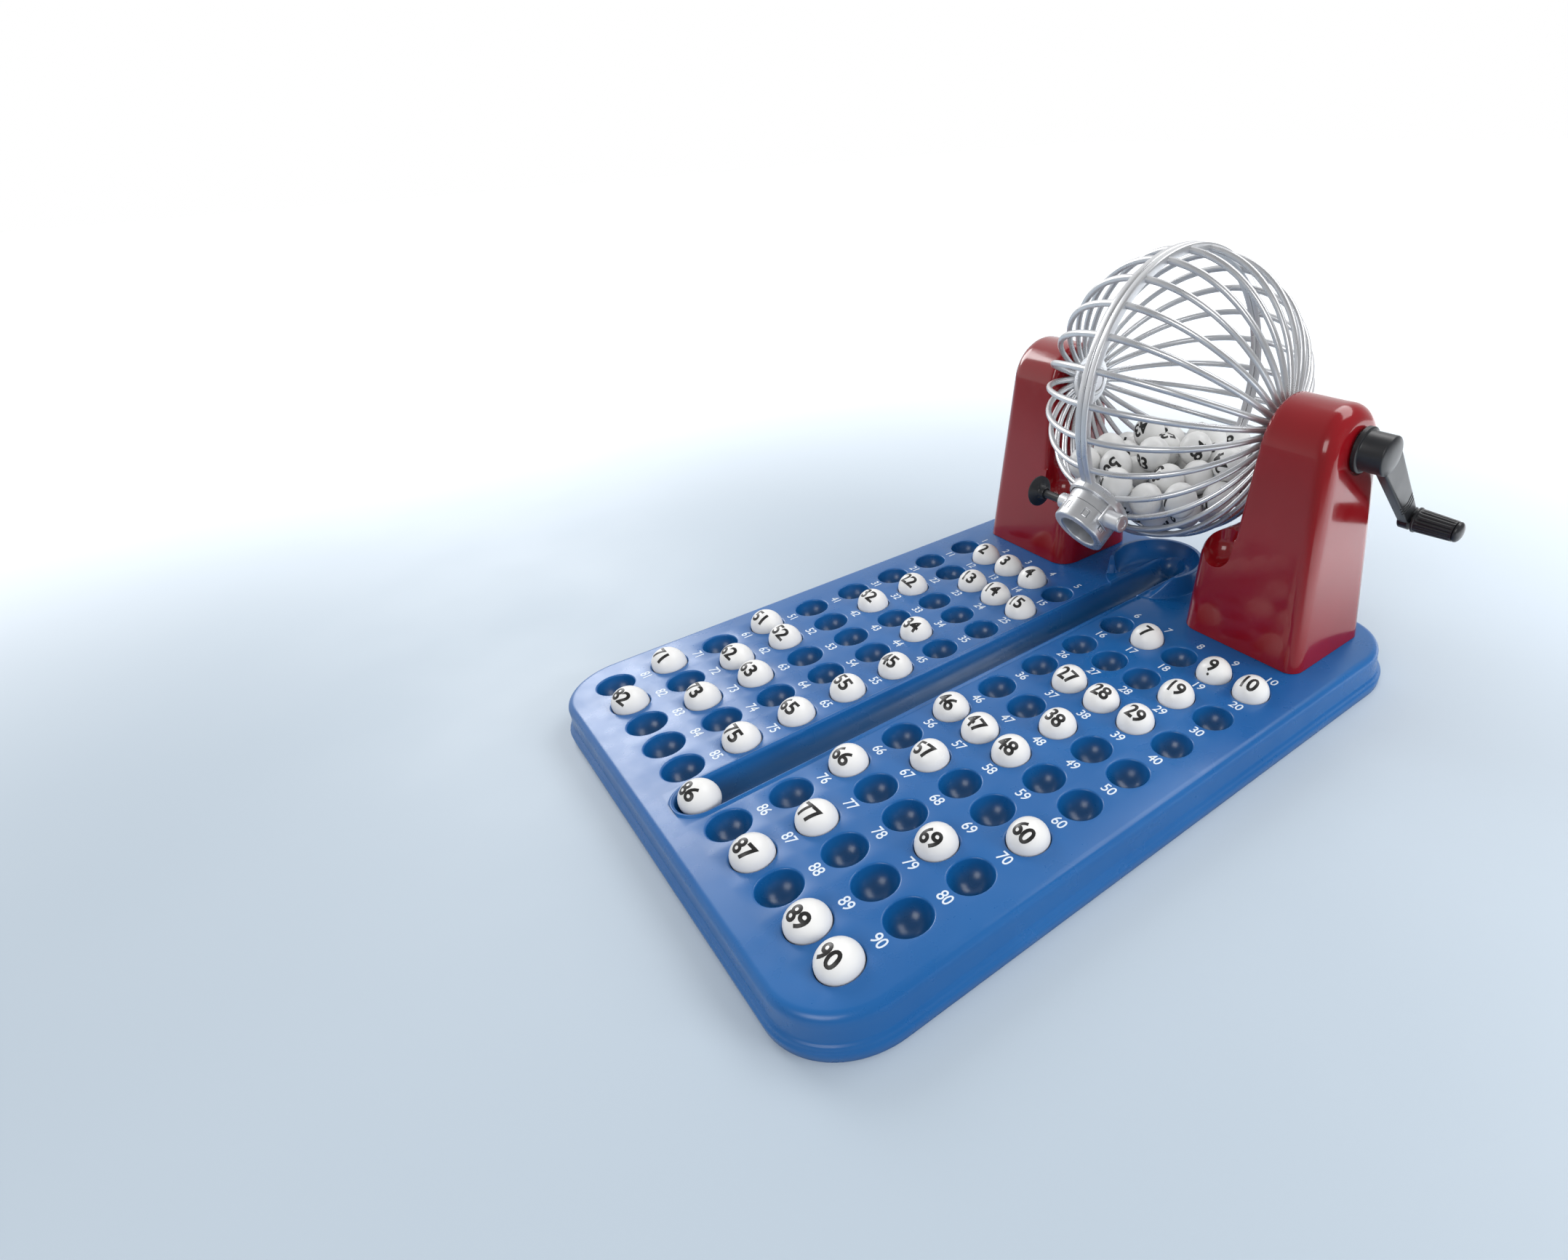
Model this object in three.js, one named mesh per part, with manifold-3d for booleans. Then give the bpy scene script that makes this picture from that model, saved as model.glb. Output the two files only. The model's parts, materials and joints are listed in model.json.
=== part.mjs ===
// A table bingo game: a moulded tray with ninety numbered cups, two stands, a wire drum turned by a crank,
// an outlet with a sprung gate that lets one ball out at a time, and the balls.
// Lengths are millimetres and angles are degrees. X runs towards the crank, Y towards the drum, Z up.
// The origin is the middle of the tray's front foot strip, on the table.
import * as THREE from 'three';
import { mergeVertices } from 'three/addons/utils/BufferGeometryUtils.js';
import Module from 'manifold-3d';

const wasm = await Module();
wasm.setup();

// Balls
const ballDiameter = 20;
const ballSides = 8;
const ballRings = 4;
const domeSides = 6;

// Tray
const trayLength = 405;
const trayHeight = 22;
const trayWall = 1.8;
const trayCornerRadius = 40;
const shoulderInset = 8;
const footStrip = 5;
const footHeight = 5;
const shoulderDrop = 7;
const grooveInset = 1.2;
const cornerSteps = 4;

// Cups, counted from the two columns beside the rail and from the row beside the drum
const cupRows = 9;
const cupsPerSide = 5;
const innerCupX = 27.5;
const outerCupFromSide = 31.7;
const firstRowFromAxle = 72.3;
const lastRowFromFront = 33.2;
const cupClearance = 0.4;

// Rail that carries the drawn balls to the front
const railClearance = 1.6;
const railDepthFront = 10.8;
const railDepthRear = 8.4;
const railFrontMargin = 19;
const railLip = 0.8;
const railLipWidth = 1.4;
const railBottomSteps = 8;
const railReachInBowl = 12;

// Catcher bowl under the drum
const bowlFromAxle = 6.3;
const bowlRadius = 28.5;
const bowlRim = 12.5;
const bowlShelf = 0.4;
const bowlShelfRadius = 15;
const bowlHollowSteps = 4;
const bowlRimWall = 2.3;
const bowlFlare = 2.4;
const bowlSides = 20;
const bowlMouthStart = 26;
const bowlMouthEnd = 14;

// Stands
const axleFromRear = 42.7;
const standSpacing = 158;
const standWidth = 42;
const standInnerLean = 2.5;
const standFromSide = 24;
const standTaper = 15;
const standFrontFromAxle = 27.5;
const standRearFromAxle = 21.5;
const standBaseFrontFromAxle = 43.8;
const standBaseRearFromAxle = 24;
const archDrop = 4;
const standEdgeRadius = 8;
const standEdgeSteps = 2;
const archSteps = 10;
const footReach = 27;
const footTop = 57;
const footTopRadius = 15;
const footTopSteps = 4;
const footCornerRadius = 12;
const scoopRadius = 8.6;
const scoopInset = 13.6;
const scoopHeight = 51;
const scoopLength = 15;
const scoopSides = 12;
const pegRadius = 4;
const pegLength = 8;
const pegTaperShare = 0.8;
const pegSides = 8;
const pegInset = 14;

// Drum of two moulded halves
const ringOuterRadius = 79.2;
const ringDepth = 4.4;
const ringHalfWidth = 4.3;
const ringChamfer = 0.9;
const seamGap = 0.3;
const wiresPerHalf = 28;
const wireThickness = 3.1;
const wireSteps = 5;
const firstWireShare = 0.5;
const hubFromStand = 2.5;
const hubThickness = 4.5;
const hubRadius = 15.5;
const hubBossRadius = 9;
const hubBossLength = 5;

// Axles and bushes
const axleRadius = 6;
const runningGap = 0.3;
const bushWall = 2.6;
const bushFlange = 2.4;
const bushFlangeThickness = 1.3;
const axleCapRadius = 10;
const axleCapThickness = 3;
const axleCapTopShare = 0.8;

// Ball outlet, along a radius of the drum
const outletAngle = -145.2;
const outletRadius = 17;
const outletBore = 11.5;
const outletSink = 0.4;
const outletLength = 23.6;
const outletLip = 1.2;
const outletSides = 16;
const collarWall = 2;
const collarHeight = 5.6;
const gateFromStart = 11.6;
const gateThickness = 3;
const gateRingWall = 1.2;
const gateTravel = 4;
const stemOffset = 6;
const stemRadius = 2.4;
const guideRadius = 4.6;
const guideLength = 3;
const padSize = 11;
const clipCount = 8;
const clipLength = 4.4;
const clipWidth = 3.2;
const clipFromMouth = 4.2;
const firstClipShare = 0.25;

// Plunger with its flared head, and the sprung housing on the other side
const headX = 41.5;
const headRadius = 9;
const headThickness = 1.2;
const headFlare = 3.6;
const headCollar = 3.6;
const headCollarLength = 3;
const gussetThickness = 1;
const gussetWidthShare = 0.75;
const gussetLengthShare = 1.5;
const tailRadius = 1.6;
const tailDiscThickness = 1;
const housingRadius = 5;
const housingBore = 3.4;
const housingEndX = 30;
const housingPlate = 1.6;
const housingEndWall = 1.3;
const springWire = 0.45;
const springTurns = 4;
const springStepsPerTurn = 6;

// Crank
const crankAngle = -45;
const crankLength = 64;
const crankHubRadius = 9.7;
const crankFlangeRadius = 11.2;
const crankFlangeThickness = 2.6;
const crankClearance = 0.8;
const crankSeatMargin = 1.3;
const crankDome = 1.3;
const crankDomeEdgeShare = 0.86;
const crankDomeTopShare = 0.4;
const armThickness = 6.4;
const armRootWidth = 16;
const armEndWidth = 9.6;
const armBevel = 1.3;
const armBevelSteps = 1;
const armEndSteps = 6;
const armBossRadius = 6.2;
const grooveCount = 3;
const groovePitch = 2.7;
const grooveWidth = 0.9;
const grooveDepth = 0.7;
const grooveSlope = 2.6;
const grooveFromEnd = 19;
const gripStandOff = 1.5;
const gripLength = 22.5;
const gripBaseRadius = 6.4;
const gripTipRadius = 5.5;
const gripFlutes = 12;
const gripFluteDepth = 0.35;
const gripCollarRadius = 6.8;
const gripCollarLength = 1.6;
const gripPinRadius = 3;
const gripHeadDome = 3.6;
const gripDomeRadiusShares = [1, 0.96, 0.6, 0];
const gripDomeHeightShares = [0, 0.35, 0.85, 1];

// Heap of balls that lies in the drum
const heapClearance = 1.6;
const heapDepth = 43.2;
const heapSteps = 5;
const heapRingCounts = [1, 5, 9];
const heapRingRadiusShares = [0, 0.37, 0.74];
const heapRingLiftShares = [0.2, 0.1, 0];

// Numbers of the balls that stand in their own cups, and the drawn one that still lies in the rail
const placedNumbers = [
  2, 3, 4, 7, 9, 10, 13, 14, 15, 19, 22, 27, 28, 29, 32, 34, 38, 45, 46, 47, 48,
  51, 52, 55, 57, 60, 62, 63, 65, 66, 69, 71, 73, 75, 77, 82, 87, 89, 90,
];
const railNumber = 86;

// Shared allowances
const seatGap = 0.3;
const overrun = 2;
const hubSides = 24;
const roundSides = 16;
const boreSides = 12;
const pinSides = 10;

// Places worked out from the sizes above
const ballRadius = ballDiameter / 2;
const cupRadius = ballRadius + cupClearance;
const railRadius = ballRadius + railClearance;
const frontY = -footStrip / 2;
const rearY = frontY + trayLength;
const ringInnerRadius = ringOuterRadius - ringDepth;
const outletStart = ringInnerRadius - outletSink;
const outletEnd = outletStart + outletLength;
const gateLevel = outletStart + gateFromStart;
const axleAboveTray = outletEnd + bowlRim;
const axleY = rearY - axleFromRear;
const axleZ = trayHeight + axleAboveTray;
const standInnerX = standSpacing / 2;
const standOuterX = standInnerX + standWidth;
const standOuterXBase = standOuterX + standTaper;
const footReachX = standInnerX - footReach;
const scoopX = footReachX + scoopInset;
const hubOuterX = standInnerX - hubFromStand;
const trayWidth = 2 * (standOuterXBase + standFromSide);
const cupPitch = (trayWidth / 2 - outerCupFromSide - innerCupX) / (cupsPerSide - 1);
const firstRowY = axleY - firstRowFromAxle;
const lastRowY = frontY + lastRowFromFront;
const rowPitch = (firstRowY - lastRowY) / (cupRows - 1);
const bowlY = axleY - bowlFromAxle;
const railEndY = frontY + railFrontMargin + railRadius;
const railRearY = bowlY + railReachInBowl;
const ringMiddleRadius = (ringOuterRadius + ringInnerRadius) / 2;
const wireStartRadius = ringMiddleRadius - ringChamfer / 2;
const wireEndRadius = hubRadius - wireThickness / 2;
const wireReach = (hubOuterX - hubThickness / 2) / Math.sin(Math.acos(wireEndRadius / wireStartRadius));
const bushOuterRadius = axleRadius + runningGap + bushWall;
const crankBackX = standOuterX + crankClearance;
const standFlare = standTaper / axleAboveTray;
const armBackX = crankBackX + standFlare * (crankLength + armBossRadius);
const crankFaceX = armBackX + armThickness;

const plastics = {
  blue: { color: 0x3f64a8, roughness: 0.42, metalness: 0 },
  red: { color: 0x8c1420, roughness: 0.16, metalness: 0 },
  silver: { color: 0xa9abb2, roughness: 0.34, metalness: 0.45 },
  black: { color: 0x17181a, roughness: 0.38, metalness: 0 },
  white: { color: 0xece9e2, roughness: 0.36, metalness: 0 },
  steel: { color: 0x9b9da1, roughness: 0.3, metalness: 1 },
};

const radians = THREE.MathUtils.degToRad;

// Turns a closed geometry into a solid, with its faces pointing out.
function solid(geometry) {
  const bare = geometry.clone();
  bare.deleteAttribute('normal');
  bare.deleteAttribute('uv');
  const merged = mergeVertices(bare);
  const points = merged.attributes.position;
  const corners = Array.from(merged.index.array);
  const kept = [];
  for (let i = 0; i < corners.length; i += 3) {
    const [a, b, c] = corners.slice(i, i + 3);
    if (a !== b && b !== c && c !== a) kept.push(a, b, c);
  }
  if (signedVolume(points, kept) < 0) {
    for (let i = 0; i < kept.length; i += 3) [kept[i], kept[i + 1]] = [kept[i + 1], kept[i]];
  }
  return new wasm.Manifold(new wasm.Mesh({
    numProp: 3,
    vertProperties: new Float32Array(points.array),
    triVerts: new Uint32Array(kept),
  }));
}

function signedVolume(points, corners) {
  const a = new THREE.Vector3();
  const b = new THREE.Vector3();
  const c = new THREE.Vector3();
  let total = 0;
  for (let i = 0; i < corners.length; i += 3) {
    a.fromBufferAttribute(points, corners[i]);
    b.fromBufferAttribute(points, corners[i + 1]);
    c.fromBufferAttribute(points, corners[i + 2]);
    total += a.dot(b.cross(c));
  }
  return total;
}

function geometryOf(body) {
  const mesh = body.getMesh();
  const geometry = new THREE.BufferGeometry();
  geometry.setAttribute('position', new THREE.BufferAttribute(mesh.vertProperties, mesh.numProp));
  geometry.setIndex(new THREE.BufferAttribute(mesh.triVerts, 1));
  geometry.computeVertexNormals();
  return geometry;
}

function joined(bodies) {
  return bodies.reduce((whole, body) => whole.add(body));
}

function cutBy(body, cutters) {
  return cutters.reduce((rest, cutter) => rest.subtract(cutter), body);
}

// A body seen in a mirror across the plane X = 0.
function mirrored(body) {
  return solid(geometryOf(body).scale(-1, 1, 1));
}

function block(low, high) {
  const geometry = new THREE.BoxGeometry(high[0] - low[0], high[1] - low[1], high[2] - low[2]);
  return geometry.translate((low[0] + high[0]) / 2, (low[1] + high[1]) / 2, (low[2] + high[2]) / 2);
}

// A solid of revolution about the Z axis from [radius, height] points.
function turnedZ(points, sides) {
  const profile = points.map(([radius, height]) => new THREE.Vector2(radius, height));
  return new THREE.LatheGeometry(profile, sides).rotateX(Math.PI / 2);
}

// A solid of revolution about the X axis from [radius, x] points.
function turnedX(points, sides) {
  const profile = points.map(([radius, x]) => new THREE.Vector2(radius, x));
  return new THREE.LatheGeometry(profile, sides).rotateZ(-Math.PI / 2);
}

function rodX(radius, fromX, toX, sides) {
  return turnedX([[0, fromX], [radius, fromX], [radius, toX], [0, toX]], sides);
}

function tubeX(outer, inner, fromX, toX, sides) {
  return turnedX([[inner, fromX], [outer, fromX], [outer, toX], [inner, toX], [inner, fromX]], sides);
}

// Extrudes a YZ outline along X.
function extrudedX(shape, fromX, toX, options = {}) {
  const depth = toX - fromX;
  const geometry = new THREE.ExtrudeGeometry(shape, { depth, bevelEnabled: false, ...options });
  return geometry.rotateZ(Math.PI / 2).rotateY(Math.PI / 2).translate(fromX, 0, 0);
}

function outline(points) {
  return new THREE.Shape(points.map(([x, y]) => new THREE.Vector2(x, y)));
}

// Points round a rectangle with round corners, the same number for every size.
function roundedRectangle(halfWidth, fromY, toY, radius) {
  const centres = [
    [halfWidth - radius, fromY + radius, -90],
    [halfWidth - radius, toY - radius, 0],
    [radius - halfWidth, toY - radius, 90],
    [radius - halfWidth, fromY + radius, 180],
  ];
  return centres.flatMap(([x, y, start]) => Array.from({ length: cornerSteps + 1 }, (_, step) => {
    const angle = radians(start + (90 * step) / cornerSteps);
    return [x + radius * Math.cos(angle), y + radius * Math.sin(angle)];
  }));
}

// Joins closed rings of points, stacked upwards, into a solid with flat ends.
function stacked(rings) {
  const count = rings[0].points.length;
  const positions = rings.flatMap(({ points, height }) => points.flatMap(([x, y]) => [x, y, height]));
  const corners = [];
  for (let ring = 0; ring + 1 < rings.length; ring += 1) {
    for (let i = 0; i < count; i += 1) {
      const a = ring * count + i;
      const b = ring * count + ((i + 1) % count);
      corners.push(a, b, b + count, a, b + count, a + count);
    }
  }
  const top = (rings.length - 1) * count;
  for (let i = 1; i + 1 < count; i += 1) {
    corners.push(0, i + 1, i);
    corners.push(top, top + i, top + i + 1);
  }
  const geometry = new THREE.BufferGeometry();
  geometry.setAttribute('position', new THREE.Float32BufferAttribute(positions, 3));
  geometry.setIndex(corners);
  return geometry;
}

function trayRing(inset, height) {
  const radius = trayCornerRadius - inset;
  const points = roundedRectangle(trayWidth / 2 - inset, frontY + inset, rearY - inset, radius);
  return { points, height };
}

// The tray's outside: foot flange, groove, and the rounded shoulder up to the flat top.
function trayOutside() {
  const flankInset = shoulderInset - shoulderInset / 2;
  return stacked([
    trayRing(0, 0),
    trayRing(0, footHeight),
    trayRing(grooveInset, footHeight + grooveInset),
    trayRing(grooveInset * 2, footHeight + grooveInset * 2),
    trayRing(flankInset, trayHeight - shoulderDrop),
    trayRing(flankInset + (shoulderInset - flankInset) / 2, trayHeight - shoulderDrop / 4),
    trayRing(shoulderInset, trayHeight),
  ]);
}

// The open space below the tray's skin.
function trayInside() {
  return stacked([
    trayRing(footStrip, -overrun),
    trayRing(footStrip, footHeight),
    trayRing(shoulderInset / 2 + trayWall, trayHeight - shoulderDrop - trayWall),
    trayRing(shoulderInset + trayWall / 2, trayHeight - trayWall),
  ]);
}

// The space of a cup: half a ball below the tray's top and a straight wall above it.
function cupBody(radius, top) {
  const quarter = radius * Math.SQRT1_2;
  return turnedZ([[0, top], [radius, top], [radius, 0], [quarter, -quarter], [0, -radius]], ballSides);
}

// The dome that a cup makes below the tray, with flat sides towards its neighbours in the row.
function cupDome() {
  const radius = cupRadius + trayWall;
  const corner = radius / Math.cos(Math.PI / domeSides);
  return turnedZ([
    [0, -trayWall / 2],
    [corner, -trayWall / 2],
    [corner / 2, -radius - trayWall / 2],
    [0, -radius - trayWall / 2],
  ], domeSides);
}

function cupPlace(number) {
  const row = Math.floor((number - 1) / (2 * cupsPerSide));
  const column = (number - 1) % (2 * cupsPerSide);
  const fromRail = column < cupsPerSide ? cupsPerSide - 1 - column : column - cupsPerSide;
  const side = column < cupsPerSide ? -1 : 1;
  return [side * (innerCupX + fromRail * cupPitch), firstRowY - row * rowPitch, trayHeight];
}

function allCupPlaces() {
  const count = cupRows * cupsPerSide * 2;
  return Array.from({ length: count }, (_, index) => cupPlace(index + 1));
}

// A round-bottomed channel that falls gently from the bowl to the front and has two round ends.
function railBody(radius, wall, top) {
  const frontDepth = railDepthFront + wall;
  const length = railRearY - railEndY;
  const drop = railDepthFront - railDepthRear;
  const fall = Math.atan2(drop, length);
  const wallTop = radius + bowlRim + overrun;
  const quarter = Array.from({ length: railBottomSteps / 2 + 1 }, (_, step) => {
    const angle = (Math.PI * step) / railBottomSteps;
    return [radius * Math.sin(angle), radius * (1 - Math.cos(angle))];
  });
  const right = [...quarter, [radius, wallTop]];
  const left = right.slice(1).reverse().map(([x, z]) => [-x, z]);
  const channel = new THREE.ExtrudeGeometry(outline([...left, ...right]), {
    depth: length, bevelEnabled: false,
  });
  channel.rotateX(Math.PI / 2).translate(0, length, 0).rotateX(fall);
  const end = solid(turnedZ([...right, [0, wallTop]], railBottomSteps * 2));
  const reach = radius * 2;
  const below = block([-reach, railEndY - reach, -reach], [reach, railRearY + reach, trayHeight + top]);
  return joined([solid(channel), end, end.translate([0, length, drop])])
    .translate([0, railEndY, trayHeight - frontDepth])
    .intersect(solid(below));
}

// The bowl's outside stands on the tray, and its inside is what the ball drops into.
function bowlOutside() {
  const rim = bowlRadius + bowlRimWall;
  return turnedZ([
    [0, -trayWall],
    [rim + bowlFlare, -trayWall],
    [rim + bowlFlare, 0],
    [rim, bowlRim - bowlRimWall / 2],
    [rim - bowlRimWall / 2, bowlRim],
    [0, bowlRim],
  ], bowlSides);
}

// A flat shelf round the rail and a hollow wall, a quarter of an ellipse, from the shelf to the rim.
function bowlInside() {
  const hollow = Array.from({ length: bowlHollowSteps + 1 }, (_, step) => {
    const angle = (Math.PI / 2) * (step / bowlHollowSteps);
    return [
      bowlShelfRadius + (bowlRadius - bowlShelfRadius) * Math.sin(angle),
      bowlShelf + (bowlRim - bowlShelf) * (1 - Math.cos(angle)),
    ];
  });
  return turnedZ([
    [0, bowlShelf],
    ...hollow,
    [bowlRadius, bowlRim + overrun],
    [0, bowlRim + overrun],
  ], bowlSides);
}

// Cuts the bowl's wall down to the tray beside the rail.
function bowlMouth() {
  const reach = bowlRadius + bowlRimWall + bowlFlare + overrun;
  const slope = outline([
    [-reach, 0],
    [-bowlMouthStart, 0],
    [-bowlMouthEnd, bowlRim + overrun],
    [-reach, bowlRim + overrun],
  ]);
  return extrudedX(slope, -reach, reach);
}

function pegPlaces() {
  const x = (standInnerX + standOuterXBase) / 2;
  return [
    [x, axleY - standBaseFrontFromAxle + pegInset],
    [x, axleY + standBaseRearFromAxle - pegInset],
  ];
}

function trayBody() {
  const dome = cupDome();
  const cup = cupBody(cupRadius, overrun);
  const places = allCupPlaces();
  const domes = places.map(([x, y, z]) => solid(dome.clone().translate(x, y, z)));
  const cups = places.map(([x, y, z]) => solid(cup.clone().translate(x, y, z)));
  const lipReach = railRadius + railLipWidth;
  const lipLow = [-lipReach, railEndY, trayHeight - trayWall / 2];
  const lip = block(lipLow, [lipReach, bowlY, trayHeight + railLip]);
  const railShell = railBody(railRadius + trayWall, trayWall, -trayWall / 2);
  const bowlShell = solid(bowlOutside().translate(0, bowlY, trayHeight));
  const pegHole = new THREE.CylinderGeometry(
    pegRadius + seatGap,
    pegRadius + seatGap,
    trayWall + overrun * 2,
    pegSides,
  ).rotateX(Math.PI / 2);
  const pegHoles = pegPlaces().flatMap(([x, y]) => [x, -x].map((side) => (
    solid(pegHole.clone().translate(side, y, trayHeight - trayWall / 2)))));
  const skin = solid(trayOutside()).subtract(solid(trayInside()));
  return cutBy(joined([skin, ...domes, railShell, solid(lip), bowlShell]), [
    ...cups,
    railBody(railRadius, 0, bowlRim + overrun),
    solid(bowlInside().translate(0, bowlY, trayHeight)),
    solid(bowlMouth().translate(0, bowlY, trayHeight)),
    ...pegHoles,
  ]);
}

// Side outline of a stand about the axle, as [y, z] with z from the tray's top, down past the foot.
function standOutline() {
  const archMiddle = (standRearFromAxle - standFrontFromAxle) / 2;
  const archRadius = (standRearFromAxle + standFrontFromAxle) / 2;
  const archHeight = axleAboveTray - archDrop;
  const below = standEdgeRadius + overrun;
  const frontLean = (standBaseFrontFromAxle - standFrontFromAxle) / archHeight;
  const rearLean = (standBaseRearFromAxle - standRearFromAxle) / archHeight;
  const shape = new THREE.Shape();
  shape.moveTo(-standBaseFrontFromAxle - frontLean * below, -below);
  shape.lineTo(standBaseRearFromAxle + rearLean * below, -below);
  shape.lineTo(standRearFromAxle, archHeight);
  shape.absarc(archMiddle, archHeight, archRadius, 0, Math.PI, false);
  return shape;
}

// Moves every point of a geometry in X by a function of its place.
function reshapedX(geometry, placeX) {
  const points = geometry.attributes.position;
  for (let i = 0; i < points.count; i += 1) {
    points.setX(i, placeX(points.getX(i), points.getZ(i)));
  }
  return geometry;
}

// The tall part: the side outline drawn out in X, rounded at the outer edge, with both faces leaning.
function standTower() {
  const options = {
    bevelEnabled: true,
    bevelSize: standEdgeRadius,
    bevelThickness: standEdgeRadius,
    bevelOffset: -standEdgeRadius,
    bevelSegments: standEdgeSteps,
    curveSegments: archSteps,
  };
  const inner = standInnerX - standInnerLean;
  const start = inner - standEdgeRadius;
  const body = extrudedX(standOutline(), start, standOuterX - standEdgeRadius, options);
  reshapedX(body, (x, z) => {
    const up = z / axleAboveTray;
    const outer = standOuterXBase + (standOuterX - standOuterXBase) * up;
    const share = (x - inner) / (standOuterX - inner);
    return share < 0 ? x : inner + share * (outer - inner);
  });
  return solid(body);
}

// The low part that reaches in under the drum, with a round top and round corners.
function standFoot() {
  const options = {
    bevelEnabled: true,
    bevelSize: footCornerRadius,
    bevelThickness: footCornerRadius,
    bevelOffset: -footCornerRadius,
    bevelSegments: standEdgeSteps,
    curveSegments: archSteps,
  };
  const end = standOuterX - footCornerRadius * 2;
  const body = extrudedX(standOutline(), footReachX + footCornerRadius, end, options);
  const reach = standBaseFrontFromAxle + overrun * 2;
  const cap = new THREE.Shape();
  cap.moveTo(footReachX - overrun, -overrun);
  cap.lineTo(end, -overrun);
  cap.lineTo(end, footTop);
  cap.lineTo(footReachX + footTopRadius, footTop);
  cap.absarc(footReachX + footTopRadius, footTop - footTopRadius, footTopRadius, Math.PI / 2, Math.PI, false);
  cap.lineTo(footReachX, 0);
  const slab = new THREE.ExtrudeGeometry(cap, { depth: reach * 2, bevelEnabled: false, curveSegments: footTopSteps });
  return solid(body).intersect(solid(slab.rotateX(Math.PI / 2).translate(0, reach, 0)));
}

// A round-ended scoop in the front of the foot's top.
function scoop() {
  const mouthY = -standBaseFrontFromAxle - overrun;
  const endY = -standFrontFromAxle - standEdgeRadius + scoopLength / 2;
  const tunnel = new THREE.CylinderGeometry(scoopRadius, scoopRadius, endY - mouthY, scoopSides);
  tunnel.translate(scoopX, (mouthY + endY) / 2, scoopHeight);
  const end = new THREE.SphereGeometry(scoopRadius, scoopSides, scoopSides / 2);
  return solid(tunnel).add(solid(end.translate(scoopX, endY, scoopHeight)));
}

// The right stand, in the drum's frame: the axle runs through the origin.
function standBody() {
  const top = block(
    [footReachX - overrun, -standBaseFrontFromAxle * 2, 0],
    [standOuterXBase + overrun, standBaseRearFromAxle * 2, axleAboveTray * 2],
  );
  const inner = standInnerX - standInnerLean;
  const towerSide = outline([[inner, -overrun], [standOuterXBase * 2, -overrun],
    [standOuterXBase * 2, axleAboveTray * 2], [standInnerX + standInnerLean, axleAboveTray * 2]]);
  const reach = standBaseFrontFromAxle * 2;
  const towerSlab = new THREE.ExtrudeGeometry(towerSide, { depth: reach * 2, bevelEnabled: false });
  const tower = standTower().intersect(solid(towerSlab.rotateX(Math.PI / 2).translate(0, reach, 0)));
  const whole = tower.add(standFoot()).intersect(solid(top)).subtract(scoop());
  const pegs = pegPlaces().map(([x, y]) => solid(new THREE.CylinderGeometry(
    pegRadius,
    pegRadius * pegTaperShare,
    pegLength,
    pegSides,
  ).rotateX(Math.PI / 2).translate(x, y - axleY, overrun - pegLength / 2)));
  const seated = joined([whole, ...pegs]).translate([0, 0, seatGap - axleAboveTray]);
  const boreRadius = bushOuterRadius + seatGap;
  const seatRadius = crankFlangeRadius + crankSeatMargin;
  const bore = turnedX([
    [0, footReachX],
    [boreRadius, footReachX],
    [boreRadius, standOuterX],
    [seatRadius, standOuterX],
    [seatRadius, standOuterXBase],
    [0, standOuterXBase],
  ], hubSides);
  return seated.subtract(solid(bore));
}

function bushGeometry() {
  const inner = axleRadius + runningGap;
  const flangeX = standInnerX - seatGap;
  const endX = standOuterX - overrun * 2;
  return turnedX([
    [inner, flangeX - bushFlangeThickness],
    [bushOuterRadius + bushFlange, flangeX - bushFlangeThickness],
    [bushOuterRadius + bushFlange, flangeX],
    [bushOuterRadius, flangeX],
    [bushOuterRadius, endX],
    [inner, endX],
    [inner, flangeX - bushFlangeThickness],
  ], roundSides);
}

// The path of a wire, a quarter of an ellipse from the ring to the hub in the plane of the axle.
class MeridianCurve extends THREE.Curve {
  constructor(ringRadius, reach, startX, endRadius) {
    super();
    this.ringRadius = ringRadius;
    this.reach = reach;
    this.start = Math.asin(startX / reach);
    this.end = Math.acos(endRadius / ringRadius);
  }

  getPoint(share) {
    const angle = THREE.MathUtils.lerp(this.start, this.end, share);
    return new THREE.Vector3(this.reach * Math.sin(angle), this.ringRadius * Math.cos(angle), 0);
  }
}

function wireGeometry() {
  const half = wireThickness / 2;
  const section = outline([[-half, -half], [half, -half], [half, half], [-half, half]]);
  const path = new MeridianCurve(wireStartRadius, wireReach, ringHalfWidth / 2, wireEndRadius);
  return new THREE.ExtrudeGeometry(section, { steps: wireSteps, bevelEnabled: false, extrudePath: path });
}

// Turns a geometry made along Z so that it points along the outlet's radius.
function alongOutlet(geometry) {
  return geometry.rotateX(radians(outletAngle - 90));
}

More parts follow.
